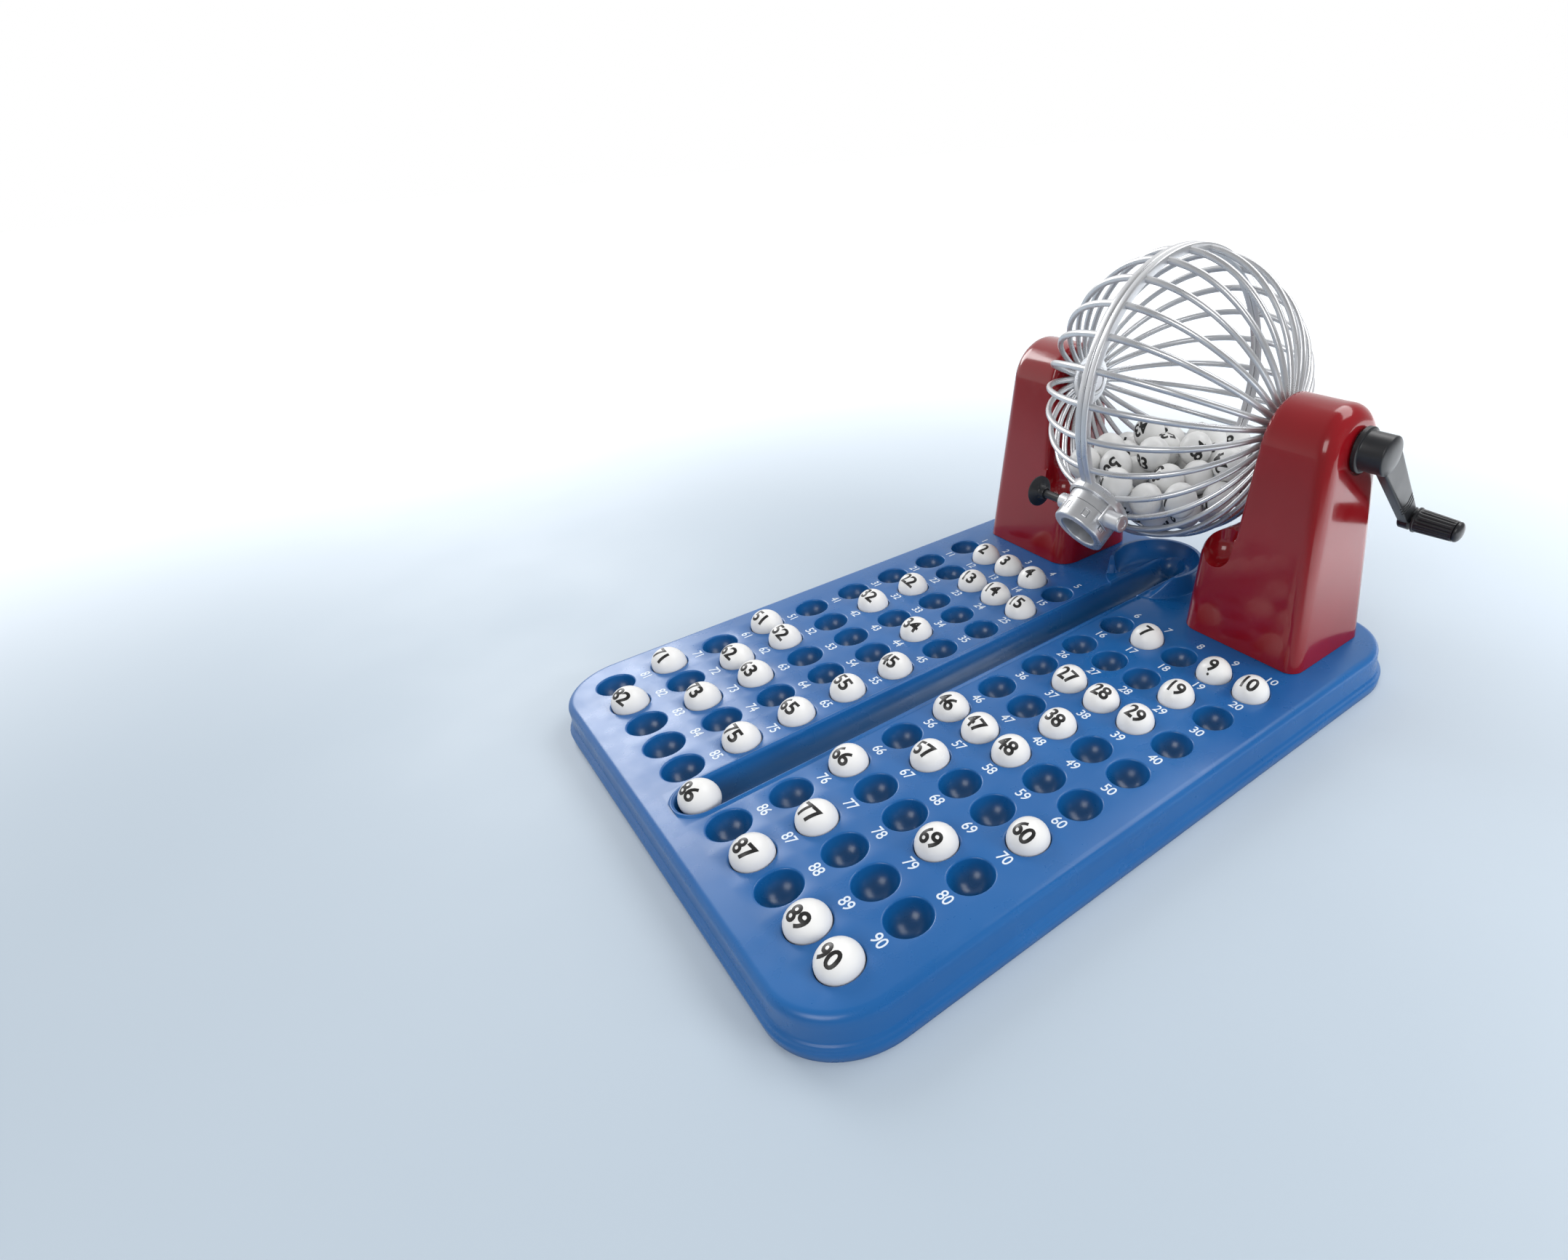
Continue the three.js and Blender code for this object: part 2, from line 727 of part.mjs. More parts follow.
// The crank side's half of the drum: half the ring, its wires, the hub and half the outlet's collar.
function cageHalfBody() {
  const ring = turnedX([
    [ringInnerRadius, seamGap / 2],
    [ringOuterRadius, seamGap / 2],
    [ringOuterRadius, ringHalfWidth - ringChamfer],
    [ringOuterRadius - ringChamfer, ringHalfWidth],
    [ringInnerRadius, ringHalfWidth],
    [ringInnerRadius, seamGap / 2],
  ], wiresPerHalf);
  const hub = turnedX([
    [axleRadius + seatGap, hubOuterX - hubThickness - hubBossLength],
    [hubBossRadius, hubOuterX - hubThickness - hubBossLength],
    [hubBossRadius, hubOuterX - hubThickness],
    [hubRadius, hubOuterX - hubThickness],
    [hubRadius, hubOuterX],
    [axleRadius + seatGap, hubOuterX],
    [axleRadius + seatGap, hubOuterX - hubThickness - hubBossLength],
  ], wiresPerHalf / 2);
  const pitch = 360 / wiresPerHalf;
  const wire = wireGeometry();
  const wires = Array.from({ length: wiresPerHalf }, (_, index) => (
    solid(wire.clone().rotateX(radians(outletAngle + (index + firstWireShare) * pitch)))));
  const openingRadius = outletRadius + seatGap;
  const collarOuter = openingRadius + collarWall;
  const collar = turnedZ([
    [0, outletStart],
    [collarOuter, outletStart],
    [collarOuter, outletStart + collarHeight],
    [0, outletStart + collarHeight],
  ], outletSides);
  const opening = turnedZ([
    [0, outletStart - collarHeight],
    [openingRadius, outletStart - collarHeight],
    [openingRadius, outletEnd],
    [0, outletEnd],
  ], outletSides);
  const otherSide = block(
    [-ringOuterRadius, -ringOuterRadius * 2, -ringOuterRadius * 2],
    [seamGap / 2, ringOuterRadius * 2, ringOuterRadius * 2],
  );
  const moulded = [ring, hub, collar].map((geometry) => solid(alongOutlet(geometry)));
  return cutBy(joined([...moulded, ...wires]), [
    solid(alongOutlet(opening)),
    solid(otherSide),
  ]);
}

// The windows round the mouth that the snap tabs sit in.
function clipWindows() {
  const near = (outletRadius + outletBore) / 2 - overrun * 2;
  const far = outletRadius + overrun;
  const top = outletEnd - clipFromMouth;
  const window = block([near, -clipWidth / 2, top - clipLength], [far, clipWidth / 2, top]);
  return Array.from({ length: clipCount }, (_, index) => (
    solid(window.clone().rotateZ(((index + firstClipShare) * 2 * Math.PI) / clipCount))));
}

// The whole outlet housing, in the outlet's frame: the bore runs along Z and the gate slides along X.
function outletShell() {
  const tube = turnedZ([
    [outletBore, outletStart],
    [outletRadius, outletStart],
    [outletRadius, outletEnd - outletLip],
    [outletRadius - outletLip, outletEnd],
    [outletBore + outletLip, outletEnd],
    [outletBore, outletEnd - outletLip],
    [outletBore, outletStart],
  ], outletSides);
  const guide = rodX(guideRadius, -outletRadius - guideLength, -outletBore - outletLip, boreSides);
  const half = padSize / 2;
  const pad = block(
    [outletBore + outletLip, stemOffset - half, gateLevel - half],
    [outletRadius, stemOffset + half, gateLevel + half],
  );
  const bore = turnedZ([
    [0, outletStart - overrun],
    [outletBore, outletStart - overrun],
    [outletBore, outletEnd + overrun],
    [0, outletEnd + overrun],
  ], outletSides);
  const pocketRadius = gateRingOuter() + seatGap;
  const pocket = block(
    [-gateTravel - pocketRadius, -pocketRadius, gateLevel - gateThickness / 2 - seatGap],
    [pocketRadius, pocketRadius, gateLevel + gateThickness / 2 + seatGap],
  );
  const round = turnedZ([
    [0, outletStart],
    [outletRadius - outletLip / 2, outletStart],
    [outletRadius - outletLip / 2, outletEnd],
    [0, outletEnd],
  ], outletSides);
  const stemHole = rodX(stemRadius + seatGap, -outletRadius - guideLength - overrun, 0, boreSides);
  const tailHole = rodX(tailRadius + seatGap, 0, outletRadius + overrun, pinSides);
  const body = joined([
    solid(tube),
    solid(guide.translate(0, stemOffset, gateLevel)),
    solid(pad),
  ]);
  return cutBy(body, [
    solid(bore),
    solid(pocket).intersect(solid(round)),
    solid(stemHole.translate(0, stemOffset, gateLevel)),
    solid(tailHole.translate(0, stemOffset, gateLevel)),
  ]);
}

function gateRingOuter() {
  return outletBore - railClearance / 2 + gateRingWall;
}

// One part of the outlet housing, kept between two levels along its bore.
function outletPart(fromLevel, toLevel) {
  const reach = outletRadius * 2;
  return outletShell().intersect(solid(block([-reach, -reach, fromLevel], [reach, reach, toLevel])));
}

function outletBody() {
  return outletPart(outletStart - overrun, gateLevel - seatGap / 2);
}

function outletCap() {
  return cutBy(outletPart(gateLevel + seatGap / 2, outletEnd + overrun), clipWindows());
}

// Plunger: flared head with gussets, stem, gate ring with a hole as wide as a ball, and tail.
function plungerBody() {
  const gateHole = outletBore - railClearance / 2;
  const gate = turnedZ([
    [gateHole, -gateThickness / 2],
    [gateRingOuter(), -gateThickness / 2],
    [gateRingOuter(), gateThickness / 2],
    [gateHole, gateThickness / 2],
    [gateHole, -gateThickness / 2],
  ], outletSides).translate(-gateTravel, 0, gateLevel);
  const hold = Math.sqrt(gateHole ** 2 - stemOffset ** 2) + gateRingWall / 2;
  const stem = rodX(stemRadius, -headX, -gateTravel - hold, pinSides);
  const head = turnedX([
    [0, -headX],
    [headRadius, -headX],
    [headRadius, -headX + headThickness],
    [headCollar, -headX + headFlare],
    [headCollar, -headX + headFlare + headCollarLength],
    [0, -headX + headFlare + headCollarLength],
  ], roundSides);
  const gusset = outline([
    [-headX + headThickness / 2, -headRadius * gussetWidthShare],
    [-headX + headThickness / 2, headRadius * gussetWidthShare],
    [-headX + headFlare + headCollarLength * gussetLengthShare, stemRadius / 2],
    [-headX + headFlare + headCollarLength * gussetLengthShare, -stemRadius / 2],
  ]);
  const flat = new THREE.ExtrudeGeometry(gusset, { depth: gussetThickness, bevelEnabled: false });
  flat.translate(0, 0, -gussetThickness / 2);
  const tailEnd = outletRadius + seatGap + housingPlate;
  const tail = turnedX([
    [0, hold - gateTravel],
    [tailRadius, hold - gateTravel],
    [tailRadius, tailEnd - tailDiscThickness],
    [housingBore - seatGap, tailEnd - tailDiscThickness],
    [housingBore - seatGap, tailEnd],
    [0, tailEnd],
  ], pinSides);
  const onStem = [stem, head, flat.clone(), flat.clone().rotateX(Math.PI / 2), tail];
  return joined([
    solid(gate),
    ...onStem.map((piece) => solid(piece.translate(0, stemOffset, gateLevel))),
  ]);
}

// Square plate with the round spring housing on it, in line with the plunger.
function springHousingBody() {
  const half = padSize / 2;
  const plateX = outletRadius + seatGap;
  const plate = block([plateX, -half, -half], [plateX + housingPlate, half, half]);
  const barrel = turnedX([
    [0, plateX],
    [housingRadius, plateX],
    [housingRadius, housingEndX - housingEndWall / 2],
    [housingRadius - housingEndWall / 2, housingEndX],
    [0, housingEndX],
  ], roundSides);
  const bore = rodX(housingBore, plateX - overrun, housingEndX - housingEndWall, boreSides);
  return solid(plate).add(solid(barrel)).subtract(solid(bore));
}

// The path of the return spring's wire.
class HelixCurve extends THREE.Curve {
  constructor(radius, fromX, toX, turns) {
    super();
    Object.assign(this, { radius, fromX, toX, turns });
  }

  getPoint(share) {
    const angle = Math.PI * 2 * this.turns * share;
    const x = THREE.MathUtils.lerp(this.fromX, this.toX, share);
    return new THREE.Vector3(x, this.radius * Math.cos(angle), this.radius * Math.sin(angle));
  }
}

function springGeometry() {
  const radius = housingBore - springWire - seatGap;
  const fromX = outletRadius + housingPlate + seatGap * 2 + springWire;
  const toX = housingEndX - housingEndWall - seatGap - springWire;
  const section = outline([[springWire, 0], [0, springWire], [-springWire, 0], [0, -springWire]]);
  return new THREE.ExtrudeGeometry(section, {
    steps: springTurns * springStepsPerTurn,
    bevelEnabled: false,
    extrudePath: new HelixCurve(radius, fromX, toX, springTurns),
  });
}

function axleGeometry(endX) {
  const startX = hubOuterX - hubThickness - hubBossLength + seatGap;
  return rodX(axleRadius, startX, endX, roundSides);
}

function axleCapGeometry() {
  const backX = crankBackX;
  const bore = axleRadius + seatGap;
  return turnedX([
    [0, backX + axleCapThickness / 2],
    [bore, backX + axleCapThickness / 2],
    [bore, backX],
    [axleCapRadius, backX],
    [axleCapRadius, backX + axleCapThickness / 2],
    [axleCapRadius * axleCapTopShare, backX + axleCapThickness],
    [0, backX + axleCapThickness],
  ], roundSides);
}

// Crank in its own frame: the axle is the X axis and the arm runs along +Y.
function crankBody() {
  const hub = turnedX([
    [0, crankBackX],
    [crankFlangeRadius, crankBackX],
    [crankFlangeRadius, crankBackX + crankFlangeThickness],
    [crankHubRadius, crankBackX + crankFlangeThickness],
    [crankHubRadius, crankFaceX - crankDome / 2],
    [crankHubRadius * crankDomeEdgeShare, crankFaceX],
    [crankHubRadius * crankDomeTopShare, crankFaceX + crankDome],
    [0, crankFaceX + crankDome],
  ], roundSides);
  const plan = new THREE.Shape();
  plan.moveTo(0, -armRootWidth / 2);
  plan.lineTo(crankLength, -armEndWidth / 2);
  plan.absarc(crankLength, 0, armEndWidth / 2, -Math.PI / 2, Math.PI / 2, false);
  plan.lineTo(0, armRootWidth / 2);
  const arm = extrudedX(plan, armBackX + armBevel, crankFaceX - armBevel, {
    bevelEnabled: true,
    bevelSize: armBevel,
    bevelThickness: armBevel,
    bevelOffset: -armBevel,
    bevelSegments: armBevelSteps,
    curveSegments: armEndSteps,
  });
  const boss = rodX(armBossRadius, armBackX, crankFaceX, boreSides).translate(0, crankLength, 0);
  const socket = turnedX([
    [0, crankBackX - overrun],
    [axleRadius + seatGap, crankBackX - overrun],
    [axleRadius + seatGap, crankFaceX - armThickness / 2],
    [0, crankFaceX - armThickness / 2],
  ], roundSides);
  const pinHole = rodX(gripPinRadius + seatGap, armBackX, crankFaceX + overrun, boreSides);
  pinHole.translate(0, crankLength, 0);
  const grooves = Array.from({ length: grooveCount }, (_, index) => {
    const at = crankLength - grooveFromEnd + index * groovePitch;
    const half = armRootWidth;
    const chevron = outline([
      [at - grooveSlope * 2, half],
      [at, 0],
      [at - grooveSlope * 2, -half],
      [at - grooveSlope * 2 + grooveWidth, -half],
      [at + grooveWidth, 0],
      [at - grooveSlope * 2 + grooveWidth, half],
    ]);
    return solid(extrudedX(chevron, crankFaceX - grooveDepth, crankFaceX + overrun));
  });
  return cutBy(joined([solid(hub), solid(arm), solid(boss)]), [solid(socket), solid(pinHole), ...grooves]);
}

// A fluted handle that narrows to its tip, with a plain collar at the arm.
function gripBody() {
  const startX = crankFaceX + gripStandOff;
  const endX = startX + gripLength;
  const flutedRing = (radius, x) => ({
    height: x,
    points: Array.from({ length: gripFlutes * 2 }, (_, index) => {
      const angle = (Math.PI * index) / gripFlutes;
      const reach = index % 2 ? radius - gripFluteDepth : radius;
      return [reach * Math.cos(angle), reach * Math.sin(angle)];
    }),
  });
  const sleeve = stacked([
    flutedRing(gripBaseRadius, startX + gripCollarLength / 2),
    flutedRing(gripTipRadius, endX),
  ]).rotateY(Math.PI / 2);
  const collar = rodX(gripCollarRadius, startX, startX + gripCollarLength, roundSides);
  const bore = rodX(gripPinRadius + runningGap, startX - overrun, endX + overrun, boreSides);
  return solid(sleeve).add(solid(collar)).subtract(solid(bore));
}

function gripPinGeometry() {
  const headX0 = crankFaceX + gripStandOff + gripLength + seatGap;
  return turnedX([
    [0, crankFaceX - armThickness + overrun],
    [gripPinRadius, crankFaceX - armThickness + overrun],
    [gripPinRadius, headX0],
    ...gripDomeRadiusShares.map((share, index) => (
      [gripTipRadius * share, headX0 + gripHeadDome * gripDomeHeightShares[index]])),
  ], roundSides);
}

function ballGeometry(radius = ballRadius) {
  return new THREE.SphereGeometry(radius, ballSides, ballRings).rotateX(Math.PI / 2);
}

// The balls that wait in the drum: one heap with round tops on it. It lies in the drum's lower part
// and is drawn in across the drum as the wires are.
function heapBody() {
  const reach = ringInnerRadius - heapClearance;
  const level = heapDepth - reach;
  const narrowing = (wireReach - wireThickness / 2 - heapClearance) / reach;
  const topAngle = Math.acos(-level / reach);
  const bowl = Array.from({ length: heapSteps + 1 }, (_, step) => {
    const angle = topAngle * (step / heapSteps);
    return [reach * Math.sin(angle), -reach * Math.cos(angle)];
  });
  const core = turnedZ([...bowl, [0, level]], roundSides).scale(narrowing, 1, 1);
  const spread = reach - ballRadius;
  const tops = heapRingCounts.flatMap((count, ring) => Array.from({ length: count }, (_, index) => {
    const angle = (2 * Math.PI * index) / count;
    const radius = spread * heapRingRadiusShares[ring];
    const height = level + ballDiameter * heapRingLiftShares[ring];
    const x = narrowing * radius * Math.cos(angle);
    return solid(ballGeometry().translate(x, radius * Math.sin(angle), height));
  }));
  return joined([solid(core), ...tops]);
}

const game = new THREE.Group();

function addPart(group, name, geometry, finish) {
  const material = new THREE.MeshStandardMaterial(plastics[finish]);
  const mesh = new THREE.Mesh(geometry, material);
  mesh.name = name;
  group.add(mesh);
  return mesh;
}

function addTray() {
  addPart(game, 'tray', geometryOf(trayBody()), 'blue');
}

function addStands(frame) {
  const right = standBody();
  addPart(frame, 'right_stand', geometryOf(right), 'red');
  addPart(frame, 'left_stand', geometryOf(mirrored(right)), 'red');
  const bush = solid(bushGeometry());
  addPart(frame, 'right_bush', geometryOf(bush), 'white');
  addPart(frame, 'left_bush', geometryOf(mirrored(bush)), 'white');
}

function addDrum(frame) {
  const half = cageHalfBody();
  addPart(frame, 'right_cage_half', geometryOf(half), 'silver');
  addPart(frame, 'left_cage_half', geometryOf(mirrored(half)), 'silver');
  const capX = crankBackX + axleCapThickness / 2 - seatGap;
  const leftAxle = solid(axleGeometry(capX));
  addPart(frame, 'left_axle', geometryOf(mirrored(leftAxle)), 'steel');
  addPart(frame, 'left_axle_cap', geometryOf(mirrored(solid(axleCapGeometry()))), 'black');
  const crankShaft = solid(axleGeometry(crankFaceX - armThickness / 2 - seatGap));
  addPart(frame, 'crank_shaft', geometryOf(crankShaft), 'steel');
}

function addOutlet(frame) {
  const outlet = new THREE.Group();
  outlet.rotation.x = radians(outletAngle - 90);
  frame.add(outlet);
  addPart(outlet, 'outlet_body', geometryOf(outletBody()), 'silver');
  addPart(outlet, 'outlet_cap', geometryOf(outletCap()), 'silver');
  addPart(outlet, 'plunger', geometryOf(plungerBody()), 'black');
  const onStem = new THREE.Group();
  onStem.position.set(0, stemOffset, gateLevel);
  outlet.add(onStem);
  addPart(onStem, 'spring_housing', geometryOf(springHousingBody()), 'silver');
  addPart(onStem, 'return_spring', geometryOf(solid(springGeometry())), 'steel');
}

function addCrank(frame) {
  const crank = new THREE.Group();
  crank.rotation.x = radians(crankAngle);
  frame.add(crank);
  addPart(crank, 'crank', geometryOf(crankBody()), 'black');
  const handle = new THREE.Group();
  handle.position.y = crankLength;
  crank.add(handle);
  addPart(handle, 'grip', geometryOf(gripBody()), 'black');
  addPart(handle, 'grip_pin', geometryOf(solid(gripPinGeometry())), 'black');
}

function addBalls(frame) {
  const ball = geometryOf(solid(ballGeometry()));
  const named = (number) => `ball_${String(number).padStart(2, '0')}`;
  for (const number of placedNumbers) {
    addPart(game, named(number), ball, 'white').position.set(...cupPlace(number));
  }
  const rolled = addPart(game, named(railNumber), ball, 'white');
  rolled.position.set(0, railEndY, trayHeight - railDepthFront + ballRadius + seatGap);
  addPart(frame, 'cage_balls', geometryOf(heapBody()), 'white');
}

const axleFrame = new THREE.Group();
axleFrame.position.set(0, axleY, axleZ);
game.add(axleFrame);
addTray();
addStands(axleFrame);
addDrum(axleFrame);
addOutlet(axleFrame);
addCrank(axleFrame);
addBalls(axleFrame);

export default game;
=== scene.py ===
# %% [markdown]
# # A table bingo machine, finished in Blender
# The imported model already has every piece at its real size. This lesson gives those pieces their looks.
# Most pieces are worked out again here as smooth surfaces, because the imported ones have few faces.
# Each one is a grid of points that numpy computes from a formula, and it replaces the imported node.

# %% Load the frame
import json
import math

import bmesh
import bpy
import numpy as np
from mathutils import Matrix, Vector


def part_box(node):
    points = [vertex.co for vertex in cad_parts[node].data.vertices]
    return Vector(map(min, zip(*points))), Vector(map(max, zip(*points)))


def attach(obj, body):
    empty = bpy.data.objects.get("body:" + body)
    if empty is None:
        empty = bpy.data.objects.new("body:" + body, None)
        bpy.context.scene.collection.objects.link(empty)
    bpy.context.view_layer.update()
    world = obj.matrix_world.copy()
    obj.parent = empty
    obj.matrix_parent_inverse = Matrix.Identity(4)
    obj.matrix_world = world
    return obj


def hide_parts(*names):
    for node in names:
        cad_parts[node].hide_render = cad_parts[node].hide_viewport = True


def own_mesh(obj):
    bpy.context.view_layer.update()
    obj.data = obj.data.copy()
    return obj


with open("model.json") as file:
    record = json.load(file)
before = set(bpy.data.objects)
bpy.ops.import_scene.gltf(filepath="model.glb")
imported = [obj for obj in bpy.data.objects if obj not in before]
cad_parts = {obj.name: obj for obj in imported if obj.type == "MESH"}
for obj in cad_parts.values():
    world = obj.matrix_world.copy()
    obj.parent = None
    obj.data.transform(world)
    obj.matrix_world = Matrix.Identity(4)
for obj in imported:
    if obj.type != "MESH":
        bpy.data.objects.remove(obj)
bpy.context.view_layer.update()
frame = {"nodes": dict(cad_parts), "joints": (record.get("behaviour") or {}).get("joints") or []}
rng = np.random.default_rng(7)

# %% [markdown]
# Blender counts in metres, but small plastic parts are easier to read in millimetres. So every size in
# this lesson is in millimetres, and a mesh is turned into metres when it is made. The places that the
# pieces share are read from the frame: the balls' size, the pitch of the cups, the tray's top and the axle.
# A ball rests in its cup with its centre level with the tray's top, so its box gives that level.

# %% Sizes read from the frame
METRE = 1000.0


def middle_of(node):
    """Middle of a node's box."""
    low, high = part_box(node)
    return np.array((low + high) / 2) * METRE


def size_of(node):
    """Size of a node's box along each axis."""
    low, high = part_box(node)
    return np.array(high - low) * METRE


ball_radius = size_of("ball_90")[2] / 2
top_z = middle_of("ball_90")[2]
column_pitch = middle_of("ball_90")[0] - middle_of("ball_89")[0]
row_pitch = (middle_of("ball_10")[1] - middle_of("ball_90")[1]) / 8
inner_column_x = middle_of("ball_66")[0]
first_row_y = middle_of("ball_10")[1]
tray_low, tray_high = (np.array(corner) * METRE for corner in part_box("tray"))
joints = {joint["name"]: joint for joint in frame["joints"]}
axle, crank_end = (np.array(joints[name]["pos_m"]) * METRE for name in ("drum_spin", "grip_spin"))
print("ball radius", ball_radius, "pitches", column_pitch, row_pitch, "axle", axle)

# %% [markdown]
# The camera stands where the picture was taken from: in front of the tray, on the crank's side, and a
# little above the drum. Its shift slides the frame sideways without turning the view.

# %% Camera


def add_object(name, data):
    """A new object in the scene, at the origin."""
    item = bpy.data.objects.new(name, data)
    bpy.context.scene.collection.objects.link(item)
    return item


camera_data = bpy.data.cameras.new("camera")
camera_data.sensor_width = 36
camera_data.lens = 17.57
camera_data.shift_x = -0.1528
camera_data.shift_y = 0.0824
camera_data.dof.use_dof = False
camera = add_object("camera", camera_data)
camera.location = (0.3120, -0.0211, 0.2701)
camera.rotation_euler = [math.radians(angle) for angle in (49.46, 2.17, 49.34)]
bpy.context.scene.camera = camera
print("camera at", tuple(camera.location))

# %% [markdown]
# A surface here is a grid of points with rows and columns. These helpers turn grids into a mesh: they
# list the four-cornered faces between neighbouring points, merge the points that meet at seams and
# poles, and shade the result smooth, apart from edges sharper than a given angle.

# %% Mesh helpers


def grid_faces(rows, columns):
    """Faces of a grid: each joins a point, its neighbour in the row, and the two above them."""
    index = np.arange(rows * columns).reshape(rows, columns)
    quads = np.stack([index[:-1, :-1], index[:-1, 1:], index[1:, 1:], index[1:, :-1]], axis=-1)
    return quads.reshape(-1, 4)


def mesh_of_parts(parts):
    """One bmesh from several pairs of points and faces; each part's faces count on from the last part's."""
    starts = np.cumsum([0] + [len(points) for points, _ in parts])
    points = np.concatenate([points for points, _ in parts]) / METRE
    faces = np.concatenate([faces + start for (_, faces), start in zip(parts, starts)])
    mesh = bpy.data.meshes.new("parts")
    mesh.from_pydata(points.tolist(), [], faces.tolist())
    build = bmesh.new()
    build.from_mesh(mesh)
    bpy.data.meshes.remove(mesh)
    return build


def mesh_of_grids(grids, weld=0.001):
    """One bmesh from several (rows, columns, 3) grids, with points closer than the weld distance merged."""
    build = mesh_of_parts([(grid.reshape(-1, 3), grid_faces(*grid.shape[:2])) for grid in grids])
    bmesh.ops.remove_doubles(build, verts=build.verts, dist=weld / METRE)
    bmesh.ops.dissolve_degenerate(build, edges=build.edges, dist=weld / METRE / 2)
    return build


def closed_outwards(build):
    """The same mesh with the faces of each closed shell turned to point out of it."""
    bmesh.ops.recalc_face_normals(build, faces=build.faces)
    return build


def new_piece(name, build, body, material, replaces=(), sharp=40):
    """A smooth-shaded object at the origin, which rides on a body and stands for the nodes it replaces."""
    mesh = bpy.data.meshes.new(name)
    build.to_mesh(mesh)
    build.free()
    mesh.polygons.foreach_set("use_smooth", np.ones(len(mesh.polygons), bool))
    mesh.set_sharp_from_angle(angle=math.radians(sharp))
    mesh.materials.append(material)
    piece = add_object(name, mesh)
    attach(piece, body)
    if replaces:
        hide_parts(*replaces)
    print(name, "faces:", len(mesh.polygons))
    return piece


def lathe_x(profile, sides, middle=(0, 0, 0), start=0, end=2 * np.pi):
    """Surface of revolution about an axle along X: each (x, radius) of the profile goes in a circle."""
    profile = np.asarray(profile, float)
    angle = np.linspace(start, end, sides + 1)
    x = np.repeat(profile[:, :1], sides + 1, axis=1)
    ring = np.stack([x, profile[:, 1:] * np.cos(angle), profile[:, 1:] * np.sin(angle)], axis=-1)
    return ring + np.asarray(middle, float)


def arc(middle, radius, start, end, steps):
    """Points on a circle's arc, between two angles in degrees."""
    angle = np.radians(np.linspace(start, end, steps + 1))
    return np.stack([middle[0] + radius * np.cos(angle), middle[1] + radius * np.sin(angle)], axis=-1)


def turned_x(points, angle):
    """Points turned about the X axis, so that +Y goes towards +Z for a positive angle."""
    x, y, z = np.moveaxis(np.asarray(points, float), -1, 0)
    cosine, sine = math.cos(angle), math.sin(angle)
    return np.stack([x, cosine * y - sine * z, sine * y + cosine * z], axis=-1)


def soft_min(first, second, width):
    """The smaller of two heights, with the crease between them rounded over the given width."""
    near = np.clip(width - np.abs(first - second), 0, None) / width
    return np.minimum(first, second) - near * near * width / 4


def soft_max(first, second, width):
    """The larger of two heights, with the crease between them rounded over the given width."""
    return -soft_min(-first, -second, width)


def smooth_step(value, low, high):
    """0 below low, 1 above high, and an S-shaped rise between them."""
    share = np.clip((value - low) / (high - low), 0, 1)
    return share * share * (3 - 2 * share)


# %% [markdown]
# ## Finishes
# Moulded plastic is never one flat value. This node group gives three patterns on object coordinates:
# a fine grain for the bump, a slow cloud for the colour, and a swirl for the roughness, as the flow marks
# of the mould leave. Every finish below places the same group with its own amounts.

# %% Shader group for moulded surfaces


def set_inputs(tree, node, inputs):
    """Gives each input of a node its value, or a link where the value is another node's socket."""
    for label, value in inputs.items():
        if isinstance(value, bpy.types.NodeSocket):
            tree.links.new(value, node.inputs[label])
        else:
            node.inputs[label].default_value = value


def add_node(tree, kind, inputs=None, **settings):
    """A new shader node with its settings and its inputs."""
    node = tree.nodes.new("ShaderNode" + kind)
    for label, value in settings.items():
        setattr(node, label, value)
    set_inputs(tree, node, inputs or {})
    return node


scale_and_detail = {"Grain": (2600, 2), "Cloud": (14, 3), "Swirl": (60, 5)}
moulded = bpy.data.node_groups.new("moulded_surface", "ShaderNodeTree")
for label, (scale, detail) in scale_and_detail.items():
    socket = moulded.interface.new_socket(label + " Scale", in_out="INPUT", socket_type="NodeSocketFloat")
    socket.default_value = scale
    moulded.interface.new_socket(label, in_out="OUTPUT", socket_type="NodeSocketFloat")
group_in = moulded.nodes.new("NodeGroupInput")
group_out = moulded.nodes.new("NodeGroupOutput")
place = add_node(moulded, "TexCoord").outputs["Object"]
for label, (scale, detail) in scale_and_detail.items():
    inputs = {"Vector": place, "Scale": group_in.outputs[label + " Scale"], "Detail": detail}
    moulded.links.new(add_node(moulded, "TexNoise", inputs).outputs["Fac"], group_out.inputs[label])
print("group outputs:", [item.name for item in moulded.interface.items_tree if item.in_out == "OUTPUT"])

# %% [markdown]
# A finish is a Principled shader: its colour drifts between two tones, its roughness between two values,
# and the grain goes to a bump. Values that are the same all over are set on the shader itself.

# %% Finishes
grain_depth = 0.02
noise_low, noise_high = 0.3, 0.7


def graded(tree, value, low, high, at_low=0, at_high=1, curve="LINEAR"):
    """A socket's value turned into a grade from at_low, where it is low, to at_high, where it is high."""
    inputs = {"Value": value, "From Min": low, "From Max": high, "To Min": at_low, "To Max": at_high}
    return add_node(tree, "MapRange", inputs, interpolation_type=curve).outputs["Result"]


def mixed_colour(tree, share, first, second):
    """A colour between two others; each of the three may be a value or a socket."""
    share_input, first_input, second_input = 0, 6, 7
    inputs = {share_input: share, first_input: first, second_input: second}
    return add_node(tree, "Mix", inputs, data_type="RGBA").outputs[2]


